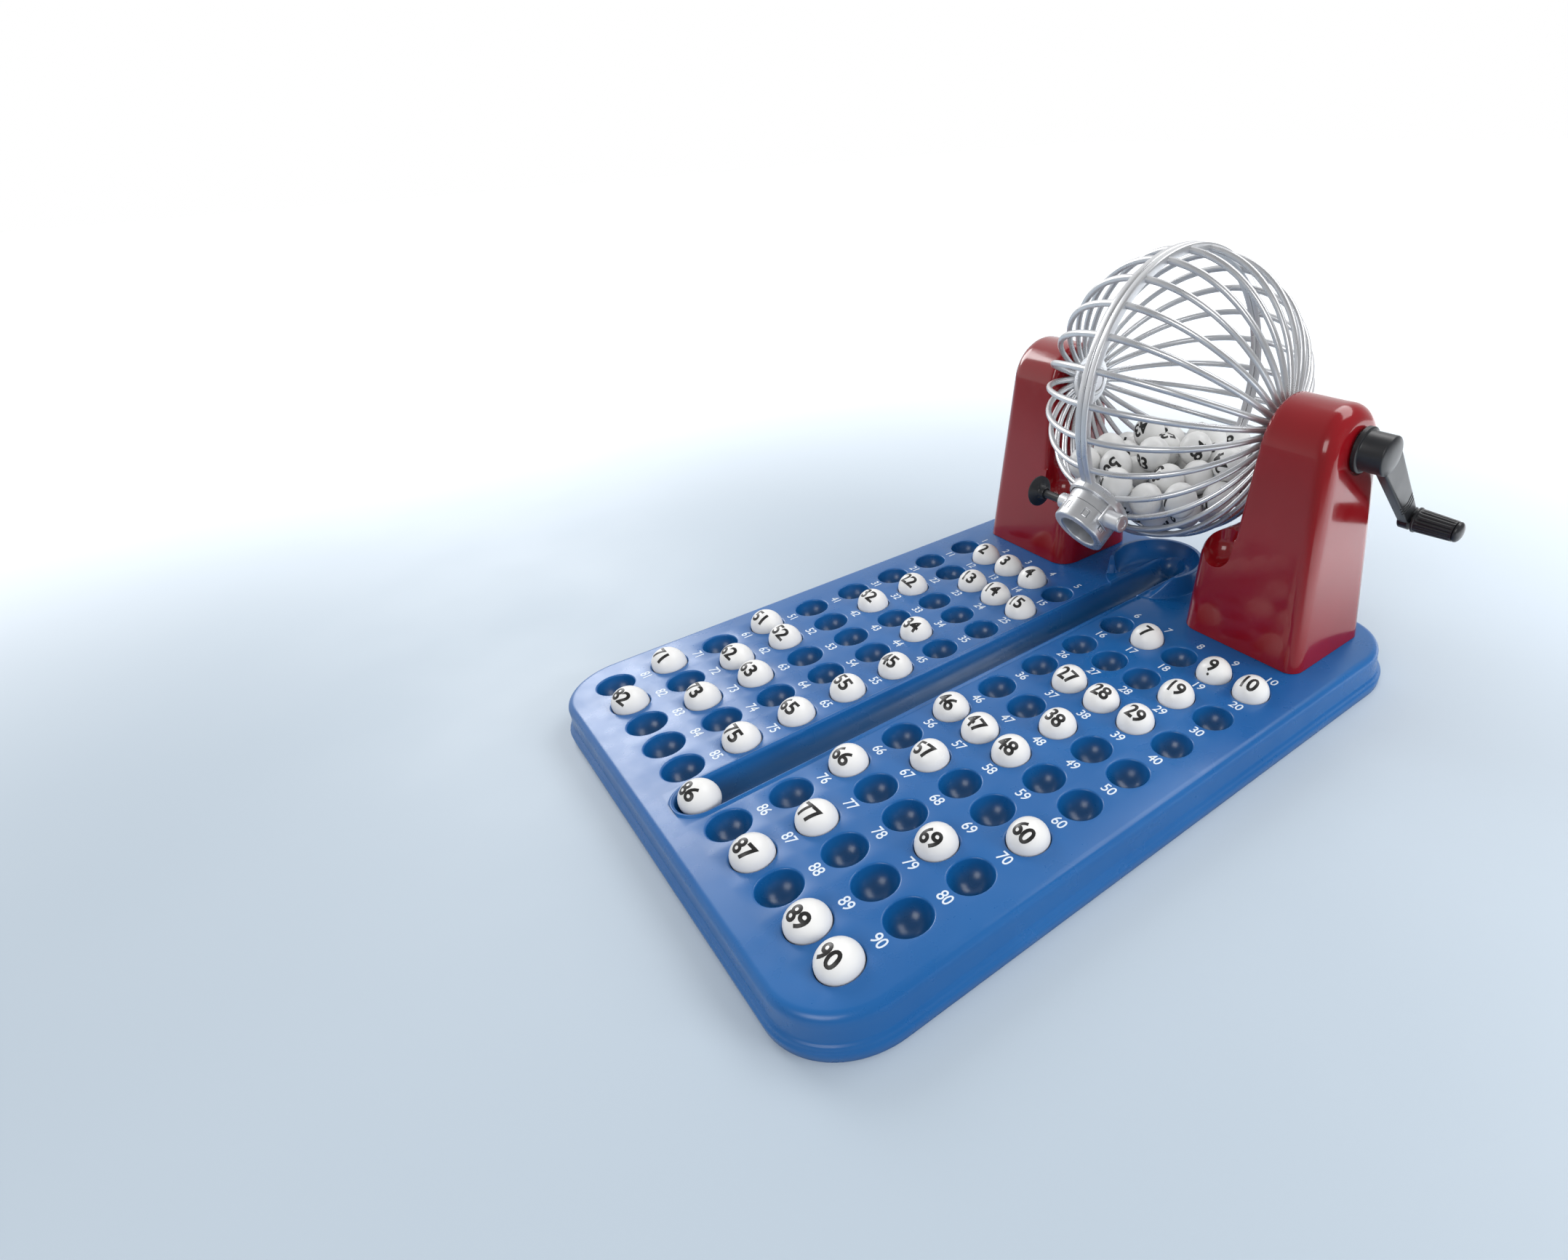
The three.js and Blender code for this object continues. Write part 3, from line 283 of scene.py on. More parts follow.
def finish(name, dark, light, rough, grain=0.1, scales=None, **shader_values):
    """A material for one kind of surface; dark and light are linear colours, rough is two roughnesses."""
    material = bpy.data.materials.new(name)
    material.use_nodes = True
    tree = material.node_tree
    effect = add_node(tree, "Group", node_tree=moulded)
    for socket, value in zip(effect.inputs, scales or [scale for scale, _ in scale_and_detail.values()]):
        socket.default_value = value
    share = graded(tree, effect.outputs["Cloud"], noise_low, noise_high)
    bump = {"Strength": grain, "Distance": grain_depth / METRE, "Height": effect.outputs["Grain"]}
    set_inputs(tree, tree.nodes["Principled BSDF"], {
        "Base Color": mixed_colour(tree, share, (*dark, 1), (*light, 1)),
        "Roughness": graded(tree, effect.outputs["Swirl"], noise_low, noise_high, *rough),
        "Normal": add_node(tree, "Bump", bump).outputs["Normal"],
        **{label.replace("_", " "): value for label, value in shader_values.items()},
    })
    return material


tray_blue = finish("tray_blue", (0.005, 0.096, 0.310), (0.009, 0.114, 0.350), (0.24, 0.36), grain=0.2)
stand_red = finish("stand_red", (0.215, 0.003, 0.006), (0.260, 0.005, 0.010), (0.10, 0.20), grain=0.05,
                   Coat_Weight=0.25, Coat_Roughness=0.06)
drum_silver = finish("drum_silver", (0.60, 0.61, 0.63), (0.68, 0.69, 0.71), (0.24, 0.36), Metallic=0.75)
crank_black = finish("crank_black", (0.012, 0.013, 0.015), (0.020, 0.021, 0.024), (0.28, 0.42), grain=0.3)
ball_white = finish("ball_white", (0.77, 0.77, 0.76), (0.83, 0.83, 0.82), (0.26, 0.40), grain=0.05)
digit_black = finish("digit_black", (0.008, 0.008, 0.008), (0.015, 0.014, 0.014), (0.30, 0.50))
label_white = finish("label_white", (0.60, 0.68, 0.78), (0.72, 0.79, 0.87), (0.40, 0.60))
axle_steel = finish("axle_steel", (0.50, 0.50, 0.52), (0.60, 0.60, 0.62), (0.22, 0.38), Metallic=1.0)
bush_white = finish("bush_white", (0.68, 0.67, 0.63), (0.76, 0.75, 0.71), (0.35, 0.50))
print("finishes:", len(bpy.data.materials))

# %% [markdown]
# The cups, the rail and the bowl are hollows in a thin wall. Their blue is painted darker towards the
# bottom, as painted shade for the light that hardly gets into a hollow. This finish is the tray's own, with
# one more
# step: the tone is mixed with a deep blue by the height of the point, which paints that shade.

# %% Finish for hollows, with painted shade
tray_hollow_painted_shade = tray_blue.copy()
tray_hollow_painted_shade.name = "tray_hollow_painted_shade"
tree = tray_hollow_painted_shade.node_tree
shader = tree.nodes["Principled BSDF"]
# Painted shade: the tone goes over to a deep blue from just under the top down to 8 mm below it.
lightest_at, deepest_at = top_z - 0.3, top_z - 8
painted_shade_blue = (0.001, 0.055, 0.165, 1)
place = add_node(tree, "TexCoord").outputs["Object"]
height = add_node(tree, "SeparateXYZ", {"Vector": place}).outputs["Z"]
depth = graded(tree, height, lightest_at / METRE, deepest_at / METRE)
tone = shader.inputs["Base Color"].links[0].from_socket
tree.links.new(mixed_colour(tree, depth, tone, painted_shade_blue), shader.inputs["Base Color"])
print("hollow finish nodes:", len(tree.nodes))

# %% [markdown]
# ## The cups
# Each cup sits in its own rectangle of the tray's top. A polar grid fits both: its inner circles follow
# the cup, and its last ring is the rectangle's edge. Neighbouring rectangles have the same points on the
# edge they share, so ninety tiles join into one skin. Cutting holes with booleans would give long thin
# faces that show as dents in a glossy surface.

# %% Cup tiles
cup_radius = ball_radius + 0.4
tray_wall = 1.8
lip_width = 1.0
tile_steps = (8, 10)


def rectangle_loop(low, high):
    """Points round a rectangle, anticlockwise from its low corner and closed, evenly spaced on each side."""
    x = np.linspace(low[0], high[0], tile_steps[0] + 1)
    y = np.linspace(low[1], high[1], tile_steps[1] + 1)
    sides = [
        np.stack([x, np.full_like(x, low[1])], -1)[:-1],
        np.stack([np.full_like(y, high[0]), y], -1)[:-1],
        np.stack([x[::-1], np.full_like(x, high[1])], -1)[:-1],
        np.stack([np.full_like(y, low[0]), y[::-1]], -1),
    ]
    return np.concatenate(sides)


def cup_profile():
    """(radius, height) up a half ball from its bottom, then over a small rounded lip onto the flat top."""
    polar = np.radians([0, 12, 24, 36, 48, 59, 69, 77, 84])
    bowl = np.stack([cup_radius * np.sin(polar), -cup_radius * np.cos(polar)], -1)
    turn = np.linspace(0, np.pi / 2, 6)[1:]
    start_radius, start_height = bowl[-1]
    lip = np.stack([start_radius + lip_width * (1 - np.cos(turn)), start_height * (1 - np.sin(turn))], -1)
    return np.concatenate([bowl, lip])


def dome_profile():
    """(radius, height) of a cup from below: a half ball that is thicker by the tray's wall."""
    outer = cup_radius + tray_wall
    polar = np.linspace(0, math.acos(tray_wall / outer), 7)
    return np.stack([outer * np.sin(polar), -outer * np.cos(polar)], -1)


def polar_tile(middle, loop, profile):
    """Circles of a profile round the middle, at the angles of the loop's points; the loop is the last."""
    offset = loop - middle
    direction = offset / np.linalg.norm(offset, axis=1, keepdims=True)
    circles = middle + profile[:, None, :1] * direction
    flat = np.concatenate([circles, loop[None]])
    height = np.append(profile[:, 1], profile[-1, 1])
    height = np.repeat(height[:, None, None], len(loop), axis=1)
    return np.concatenate([flat, height + top_z], axis=-1)


def cup_place(number):
    """Centre of a cup: tens go down the rows, and units go across with five on each side of the rail."""
    row, column = divmod(number - 1, 10)
    from_rail = 4 - column if column < 5 else column - 5
    side = -1 if column < 5 else 1
    return np.array([side * (inner_column_x + from_rail * column_pitch), first_row_y - row * row_pitch])


half_tile = np.array([column_pitch / 2, row_pitch / 2])
rail_half = inner_column_x - half_tile[0]
field_half = inner_column_x + 4.5 * column_pitch
field_rear = first_row_y + half_tile[1]
field_front = first_row_y - 8 * row_pitch - half_tile[1]
top_tiles, under_tiles = [], []
for number in range(1, 91):
    place = cup_place(number)
    loop = rectangle_loop(place - half_tile, place + half_tile)
    top_tiles.append(polar_tile(place, loop, cup_profile())[:, ::-1])
    under_tiles.append(polar_tile(place, loop, dome_profile()))
print("cup tiles:", len(top_tiles), "rings and points:", top_tiles[0].shape[:2])

# %% [markdown]
# ## The rail and the bowl
# Drawn balls roll down a round-bottomed channel. Its surface is the lower of two heights: the arc of the
# channel, and the tray's top with a small raised lip on each side. A soft minimum rounds the edge between
# them, as a mould does. The same formula serves three grids: the straight run, the round front end, and
# the bowl, where the distance from the channel's middle line is measured in another way.

# %% Rail height
channel_radius = ball_radius + 1.8
rail_front_y = middle_of("ball_86")[1]
rail_rear_y = axle[1] - 44.3
bowl_y = axle[1] - 6.3
depth_front, depth_rear = 10.8, 8.4
lip_top, lip_from_middle, lip_spread = 0.9, 13.1, 1.0
edge_blend = 0.9


def channel_depth(y):
    """Depth of the channel under the tray's top: it falls evenly from the bowl to the front end."""
    share = np.clip((y - rail_front_y) / (rail_rear_y - rail_front_y), 0, 1)
    return depth_front + (depth_rear - depth_front) * share


def channel_height(across, y):
    """Height of the channel's arc: its middle less the root of the radius squared less distance squared."""
    inside = np.clip(channel_radius**2 - across**2, 0, None)
    height = channel_radius - channel_depth(y) - np.sqrt(inside)
    return np.where(across < channel_radius, height, across * 4)


def lip_height(across):
    """A low rounded ridge beside the channel: a bell curve of the distance from its edge."""
    return lip_top * np.exp(-(((across - lip_from_middle) / lip_spread) ** 2))


def rail_height(across, y):
    """The lower of the channel and the lip, with the edge between them rounded."""
    return soft_min(channel_height(across, y), lip_height(across), edge_blend)


across = np.concatenate([np.linspace(0, 9.5, 14), np.linspace(10, rail_half, 26)])
across = np.concatenate([-across[:0:-1], across])
along = np.linspace(rail_front_y, rail_rear_y, 90)
x, y = np.meshgrid(across, along)
rail_run = np.stack([x, y, top_z + rail_height(np.abs(x), y)], -1)
print("rail from", rail_front_y, "to", rail_rear_y)

# %% [markdown]
# The rail's front end is a half turn of the same section. Rays run from its middle to the edge of the
# rectangle round it, so that it joins the cup tiles on both sides.

# %% Rail end


def rays_to_rectangle(middle, angles, low, high):
    """How far a ray from the middle goes, at each angle, before it leaves the rectangle."""
    direction = np.stack([np.cos(angles), np.sin(angles)], -1)
    with np.errstate(divide="ignore", invalid="ignore"):
        reach = np.maximum((high - middle) / direction, (low - middle) / direction)
    return np.nanmin(np.where(np.isfinite(reach), reach, np.inf), axis=1)


end_middle = np.array([0, rail_front_y])
angles = np.linspace(np.pi, 2 * np.pi, 61)
end_low, end_high = np.array([-rail_half, field_front]), np.array([rail_half, rail_front_y])
reach = rays_to_rectangle(end_middle, angles, end_low, end_high)
levels = np.abs(across[len(across) // 2:])[:, None]
radius = np.concatenate([np.repeat(levels[:-1], len(angles), 1), reach[None]])
radius = np.minimum(radius, reach)
x, y = radius * np.cos(angles), rail_front_y + radius * np.sin(angles)
rail_end = np.stack([x, y, top_z + rail_height(radius, y)], -1)[:, ::-1]
print("rail end rings:", rail_end.shape[:2])

# %% [markdown]
# The bowl under the drum is a raised round wall on the tray. Seen from above, its height depends on the
# distance from its middle and on the direction: the inner side is a quarter of an ellipse, the outer side
# is steep, and the crest falls to the tray towards the rail, slowly on the right and steeply on the left.
# The height is the smallest of these three, and the channel is cut through by one more minimum.

# %% Bowl height
bowl_crest = 12.5
bowl_inner_radius = 28.6
bowl_outer = (30.9, 33.4)
shelf_height = 0.4
opening_right, opening_left = (29, 66), (48, 52.5)


def crest_height(direction):
    """Height of the crest by direction, 0 to the front and positive to the right, in degrees."""
    right = smooth_step(direction, *opening_right)
    left = smooth_step(-direction, *opening_left)
    return bowl_crest * np.where(direction > 0, right, left)


def inner_height(distance, direction):
    """The bowl's inside: a flat shelf, then a quarter ellipse to the crest, steeper at the wall's ends."""
    start = 24 - 7 * smooth_step(np.abs(direction), 50, 105)
    share = np.clip((distance - start) / (bowl_inner_radius - start), 0, 1)
    rise = bowl_crest * 1.3 * (1 - np.sqrt(1 - share**2 * 0.999))
    return shelf_height + rise + np.clip(distance - bowl_inner_radius, 0, None) * 30


def outer_height(distance):
    """The bowl's outside: a steep straight slope."""
    return (bowl_outer[1] - distance) * bowl_crest / (bowl_outer[1] - bowl_outer[0])


def bowl_height(x, y):
    """Height of the tray's top round the bowl."""
    distance = np.hypot(x, y - bowl_y)
    direction = np.degrees(np.arctan2(x, bowl_y - y))
    crest = crest_height(direction)
    wall = soft_min(inner_height(distance, direction), outer_height(distance), 1.2)
    wall = soft_min(wall, crest, 1.8)
    floor = np.where(distance < bowl_outer[0], shelf_height, 0) * smooth_step(30 - distance, 0, 4)
    ground = soft_max(wall, floor, 2.4)
    past_end = np.clip(y - channel_end_y, 0, None)
    beside = np.hypot(x, past_end)
    lip = lip_height(beside) * smooth_step(distance, 8, 14) * (1 - smooth_step(wall, 0.5, 3))
    return soft_min(ground + lip, channel_height(beside, y), edge_blend)


bowl_half = 40
channel_end_y = bowl_y + 12
bowl_low = np.array([-bowl_half, rail_rear_y])
bowl_high = np.array([bowl_half, axle[1] + 29])
bowl_middle = np.array([0, bowl_y])
corner_angles = [math.atan2(y - bowl_y, x)
                 for x in (-bowl_half, bowl_half) for y in (bowl_low[1], bowl_high[1])]
angles = np.unique(np.append(np.linspace(-np.pi, np.pi, 481), corner_angles))
reach = rays_to_rectangle(bowl_middle, angles, bowl_low, bowl_high)
levels = np.concatenate([np.linspace(0, 8, 7), np.arange(8.5, 26, 0.5), np.arange(26, 34.8, 0.24)])
radius = np.repeat(levels[:, None], len(angles), 1)
outside = levels[-1] + (reach - levels[-1]) * np.linspace(0, 1, 4)[1:, None]
radius = np.concatenate([radius, outside])
x, y = radius * np.cos(angles), bowl_y + radius * np.sin(angles)
bowl_grid = np.stack([x, y, top_z + bowl_height(x, y)], -1)[:, ::-1]
print("bowl grid:", bowl_grid.shape[:2], "highest", bowl_grid[..., 2].max())

# %% [markdown]
# ## The tray's edge
# Round the cups the top is flat out to a shoulder, which turns down in steps to the foot strip. The edge
# is a profile carried round a rounded rectangle: each step of the profile has a distance outwards and a
# height. Inside, the wall goes back up to the skin's underside.

# %% Tray edge
corner_radius = 32.0
shoulder = 8.0
side_points, corner_points = 60, 20
edge_middle = (tray_low[:2] + tray_high[:2]) / 2
edge_half = (tray_high[:2] - tray_low[:2]) / 2 - shoulder


def outline_of(corners):
    """A closed outline: the points of each corner, and then even steps along the side to the next corner."""
    share = np.linspace(0, 1, side_points + 1)[1:, None]
    rows = []
    for corner, following in zip(corners, corners[1:] + corners[:1]):
        rows += [corner, corner[-1] + (following[0] - corner[-1]) * share]
    return np.concatenate(rows)


def edge_loop(outwards):
    """The tray's outline, moved outwards from the line where the flat top ends: four arcs and four sides."""
    return outline_of([
        arc(edge_middle + side * (edge_half - corner_radius), corner_radius + outwards, start, start + 90,
            corner_points)
        for side, start in (((1, -1), -90), ((1, 1), 0), ((-1, 1), 90), ((-1, -1), 180))])


def rear_corner():
    """The field's rear corner on the right: a quarter ellipse about the middle of the edge's own arc."""
    middle = edge_middle + edge_half - corner_radius
    turn = np.linspace(0, np.pi / 2, corner_points + 1)[:, None]
    return middle + np.hstack([np.cos(turn), np.sin(turn)]) * (np.array([field_half, bowl_high[1]]) - middle)


def field_loop():
    """The field's outline with as many points as the edge loop: square in front, rounded at the rear."""
    front_right = np.repeat([[field_half, field_front]], corner_points + 1, 0)
    right = rear_corner()
    return outline_of([front_right, right, right[::-1] * (-1, 1), front_right * (-1, 1)])


shoulder_turn = np.linspace(0, 1.3, 9)
edge_profile = np.concatenate([
    np.stack([-0.9 + 4.7 * np.sin(shoulder_turn), -4.7 + 4.7 * np.cos(shoulder_turn)], -1),
    [(3.9, -6), (4.3, -9), (4.9, -12.2), (5.0, -12.7), (5.1, -13.3), (5.5, -13.8), (6.2, -14.2),
     (6.6, -14.7)],
    [(6.9, -15.6), (7.1, -16.2), (7.7, -16.6), (8, -17.1), (8, -21.6), (7.7, -22)],
])
inside_profile = np.array([(3.2, -22), (2.9, -21.6), (2.8, -17), (1.5, -12), (0.5, -6), (-1.4, -3.2),
                           (-6, -tray_wall)])


def at_height(points, height):
    """Points (x, y) given a height above the tray's top."""
    return np.column_stack([points, np.full(len(points), top_z + height)])


def edge_rows(profile):
    """The outline repeated for each (outwards, height) of the profile."""
    return np.stack([at_height(edge_loop(out), height) for out, height in profile])


field_top, field_under = (at_height(field_loop(), height)[None] for height in (0, -tray_wall))
outer_rows = edge_rows(np.concatenate([edge_profile, inside_profile[:-1]]))
inner_rows = edge_rows(inside_profile[-1:])
edge_grid = np.concatenate([field_top, outer_rows])[:, ::-1]
under_edge = np.concatenate([outer_rows[-1:], inner_rows, field_under])[:, ::-1]
print("edge grid:", edge_grid.shape[:2], "outline", np.ptp(edge_grid[..., :2], axis=(0, 1)))

# %% [markdown]
# The rest of the top is flat: beside the rail's rear end, under the stands, and behind the bowl. Patches
# with a few faces fill it. The underside repeats the channel and the bowl, moved down by the wall.

# %% Flat areas and underside


def flat(inner_x, outer_line):
    """A flat patch of the tray's top between a straight inner side and the points of its outer side."""
    share = np.linspace(0, 1, 6)
    x = inner_x + (outer_line[:, :1] - inner_x) * share
    y = np.repeat(outer_line[:, 1:], len(share), 1)
    return np.stack([x, y, np.full_like(x, top_z)], -1)


def straight(x, from_y, to_y):
    """Points (x, y) up a straight line along the tray."""
    return np.column_stack([np.full(6, x), np.linspace(from_y, to_y, 6)])


corner_line = rear_corner()
right_flats = [
    flat(rail_half, straight(bowl_high[0], field_rear, rail_rear_y)),
    flat(bowl_high[0], straight(field_half, field_rear, corner_line[0, 1])),
    flat(bowl_high[0], corner_line),
]
top_flats = right_flats + [patch[:, ::-1] * (-1, 1, 1) for patch in right_flats]
drop = np.array([0, 0, -tray_wall])
under_grids = [(grid + drop)[:, ::-1]
               for grid in (rail_run[::6, ::3], rail_end[::3, ::4], bowl_grid[::4, ::8], *top_flats)]

new_piece("tray_cups", mesh_of_grids(top_tiles), "base", tray_hollow_painted_shade)
new_piece("tray_rail", mesh_of_grids([rail_run, rail_end]), "base", tray_hollow_painted_shade)
new_piece("tray_bowl", mesh_of_grids([bowl_grid]), "base", tray_hollow_painted_shade)
new_piece("tray_edge", mesh_of_grids([edge_grid, *top_flats]), "base", tray_blue, replaces=("tray",),
          sharp=50)
new_piece("tray_underside", mesh_of_grids([*under_tiles, *under_grids, under_edge]), "base", tray_blue)

# %% [markdown]
# ## Numbers
# The tray's numbers are printed flat beside the cups, and each ball has its number in black. A text object
# gives the outlines of the digits, with heavier strokes by its offset. It is made a mesh before it goes to
# its place. For a ball, the flat number is first cut into small cells, so that it can bend round the ball.

# %% Digits
text_data = bpy.data.curves.new("number_text", "FONT")
text_data.align_x = "CENTER"
text_data.align_y = "CENTER"
text_data.resolution_u = 4
text_data.space_character = 0.96
text_object = add_object("number_text", text_data)
digit_share = 0.72


def flat_number(number, height, weight, cell=None):
    """Points and faces of a number about its middle; weight thickens it, cell is the cutting pitch."""
    text_data.body = str(number)
    text_data.offset = weight
    bpy.context.view_layer.update()
    mesh = text_object.evaluated_get(bpy.context.evaluated_depsgraph_get()).to_mesh()
    build = bmesh.new()
    build.from_mesh(mesh)
    text_object.to_mesh_clear()
    points = np.array([vertex.co[:2] for vertex in build.verts])
    low, high = points.min(0), points.max(0)
    scale = height / digit_share
    if cell:
        pitch = cell / scale
        for axis in (0, 1):
            normal = np.eye(3)[axis]
            for level in np.arange(low[axis] + pitch / 2, high[axis], pitch):
                bmesh.ops.bisect_plane(build, geom=build.verts[:] + build.edges[:] + build.faces[:],
                                       plane_co=(normal * level).tolist(), plane_no=normal.tolist())
    bmesh.ops.triangulate(build, faces=build.faces)
    build.verts.index_update()
    points = np.array([vertex.co[:2] for vertex in build.verts])
    faces = np.array([[vertex.index for vertex in face.verts] for face in build.faces])
    build.free()
    return (points - (low + high) / 2) * scale, faces


label_height, label_weight, label_lift = 5.6, 0.010, 0.05
label_offset = np.array([2.0, 0.53 * row_pitch])
labels = []
for number in range(1, 91):
    points, faces = flat_number(number, label_height, label_weight)
    labels.append((at_height(points + cup_place(number) + label_offset, label_lift), faces))
new_piece("tray_numbers", mesh_of_parts(labels), "base", label_white)

# %% [markdown]
# ## Balls
# A ball is a grid of rings between two poles. Its digits are wrapped on it: a point's distance from the
# middle of the number becomes an angle, its direction stays, so that the digits keep their shape. They lie
# a hair above the ball, as a print does. The dot under a 6 or a 9 tells the two apart.

# %% Ball shapes


def ball_points(rings, sides):
    """Unit ball as a grid: rings from pole to pole, each with the same number of points."""
    polar = np.linspace(np.pi, 0, rings + 1)[:, None]
    turn = np.linspace(0, 2 * np.pi, sides + 1)[None]
    height = np.cos(polar) * np.ones_like(turn)
    return np.stack([np.sin(polar) * np.cos(turn), np.sin(polar) * np.sin(turn), height], -1)


def wrapped(points, middle, outward, upward):
    """Flat points bent round a ball: the distance along the flat becomes an arc of the same length."""
    right = np.cross(upward, outward)
    right /= np.linalg.norm(right)
    upright = np.cross(outward, right)
    distance = np.linalg.norm(points, axis=1, keepdims=True)
    along = (points[:, :1] * right + points[:, 1:] * upright) / np.maximum(distance, 1e-6)
    angle = distance / ball_radius
    return middle + (ball_radius + print_lift) * (np.cos(angle) * outward + np.sin(angle) * along)


def ball_number(number):
    """Flat number for a ball, with a dot under a 6 or a 9."""
    points, faces = flat_number(number, digit_height, digit_weight, cell=cutting_pitch)
    if number in (6, 9, 68):
        turn = np.linspace(0, 2 * np.pi, 13)[:-1]
        dot = np.stack([dot_radius * np.cos(turn), dot_y + dot_radius * np.sin(turn)], -1)
        fan = np.array([[0, step, step + 1] for step in range(1, 11)])
        faces = np.concatenate([faces, fan + len(points)])
        points = np.concatenate([points, dot])
    return points, faces


digit_height, digit_weight, cutting_pitch, print_lift = 8.1, 0.029, 0.9, 0.03
dot_radius, dot_y = 0.8, -5.9
small_ball = ball_points(20, 32) * ball_radius
number_meshes = {number: ball_number(number) for number in range(1, 91)}
print("number meshes:", len(number_meshes))

# %% [markdown]
# The drawn balls stand in their cups with the number upwards, to the front and the right, and its base line
# along the tray. Nobody sets them exactly, so each one is off by a seeded random amount.

# %% Balls in the cups
drawn = sorted(int(name[5:]) for name in frame["nodes"] if name.startswith("ball_"))
usual_lean, lean_spread, roll_spread = (0.22, -0.34, 0.90), 0.07, 0.08


def number_direction(lean, roll):
    """Outward and upward directions of a print: outward is the lean's, upward runs along the tray."""
    outward = np.array(lean, float) / np.linalg.norm(lean)
    upright = np.cross(outward, (1, 0, 0))
    upright /= np.linalg.norm(upright)
    right = np.cross(upright, outward)
    return outward, math.cos(roll) * upright + math.sin(roll) * right


for number in drawn:
    middle = middle_of("ball_%02d" % number)
    lean = usual_lean + rng.normal(0, lean_spread, 3)
    outward, upward = number_direction(lean, rng.normal(0, roll_spread))
    points, faces = number_meshes[number]
    new_piece("ball_shell_%02d" % number, mesh_of_grids([small_ball + middle]), "base", ball_white,
              replaces=("ball_%02d" % number,))
    new_piece("ball_print_%02d" % number, mesh_of_parts([(wrapped(points, middle, outward, upward), faces)]),
              "base", digit_black)

# %% [markdown]
# The fifty balls in the drum lie as they fell. They start at random places, then each step lets them sink a
# little, pushes apart the pairs that overlap, and keeps every centre inside the drum. After enough steps
# the heap is at rest. All pairs are worked out together as one table of distances.

# %% Heap of balls in the drum
waiting = [number for number in range(1, 91) if number not in drawn]
room = np.array([63.6, 63.4, 63.4])
heap_steps, sink, push_apart, play = 900, 0.35, 0.42, 0.02
heap = rng.uniform(-1, 1, (len(waiting), 3)) * (34, 34, 10) + (0, 0, -10)
for step in range(heap_steps):
    heap[:, 2] -= sink * (1 - step / heap_steps)
    gap = heap[:, None] - heap[None]
    distance = np.linalg.norm(gap, axis=-1) + np.eye(len(heap)) * 1e3
    overlap = np.clip(2 * ball_radius + play - distance, 0, None)
    heap += (gap / distance[..., None] * overlap[..., None] * push_apart).sum(1)
    scale = np.linalg.norm(heap / room, axis=1, keepdims=True)
    heap = np.where(scale > 1, heap / scale, heap)
distance = np.linalg.norm(heap[:, None] - heap[None], axis=-1) + np.eye(len(heap)) * 1e3
print("closest pair", round(distance.min(), 2), "highest centre", round(heap[:, 2].max(), 1))
shells, prints = [], []
medium_ball = ball_points(14, 22) * ball_radius
for number, place in zip(waiting, heap):
    middle = axle + place
    outward = rng.normal(0, 1, 3) + (0, 0, 0.3)
    outward /= np.linalg.norm(outward)
    upward = np.cross(outward, rng.normal(0, 1, 3))
    upward /= np.linalg.norm(upward)
    points, faces = number_meshes[number]
    shells.append(medium_ball + middle)
    prints.append((wrapped(points, middle, outward, upward), faces))
new_piece("drum_balls", mesh_of_grids(shells, weld=0.0005), "base", ball_white, replaces=("cage_balls",))
new_piece("drum_ball_prints", mesh_of_parts(prints), "base", digit_black)
bpy.data.objects.remove(text_object)

# %% [markdown]
# ## Stands
# A stand is one glossy red moulding: a tower with an arched top, and a low foot that reaches in under the
# drum. Seen from the side its outline is two leaning lines and an arch. The surface has two parameters:
# a place along that outline, and a place across, from the middle of the inner face, round the inner edge,
# over the side, round the outer edge, to the middle of the outer face. The foot appears because the inner
# face moves inwards below a certain height, so foot and tower share one skin, without a seam.

# %% Stand outline and section
seat = 0.3
arch_middle = np.array([-3.0, 106.5])
arch_radius = 24.5
arch_start, arch_end = 171.3, 1.3
base_front, base_rear, base_middle = -43.8, 24.0, -9.9
foot_reach, foot_top, foot_round, foot_corner = 52.0, 57.0, 15.0, 13.0
tower_edge, outer_edge = 3.0, 8.0
tower_low_x, tower_lean = 76.5, 2.5
outer_low_x, outer_lean = 136, 15
closing_width = 0.4
axle_height = axle[2] - top_z


def inner_side():
    """Height, x of the inner face and its corner radius, from the bottom of the foot up to the arch."""
    low = np.linspace(seat, foot_top - foot_round, 9)
    turn = np.linspace(0, np.pi / 2, 13)[1:]
    face_x = tower_x(foot_top)
    share = np.linspace(0, 1, 7)[1:]
    start = foot_reach + foot_round
    high = np.linspace(foot_top + 4, arch_middle[1], 14)
    foot_face = np.column_stack([low, np.full(9, foot_reach), np.full(9, foot_corner)])
    bend = np.column_stack([foot_top - foot_round + foot_round * np.sin(turn),
                            foot_reach + foot_round * (1 - np.cos(turn)), np.full(12, foot_corner)])
    shelf = np.column_stack([foot_top + 0.6 * share**2, start + (face_x - 1.2 - start) * share,
                             foot_corner + (tower_edge + 1.2 - foot_corner) * share])
    fillet = np.array([(foot_top + rise, face_x - gap, tower_edge + gap)
                       for rise, gap in ((0.85, 0.55), (1.3, 0.15), (1.9, 0))])
    tower_face = np.column_stack([high, tower_x(high), np.full(14, tower_edge)])
    return np.concatenate([foot_face, bend, shelf, fillet, tower_face])


def tower_x(height):
    """The tower's inner face leans outwards with height."""
    return tower_low_x + tower_lean * height / axle_height


def outer_x(height):
    """The outer face leans inwards with height, so that the stand is widest at the tray."""
    return outer_low_x - outer_lean * height / axle_height


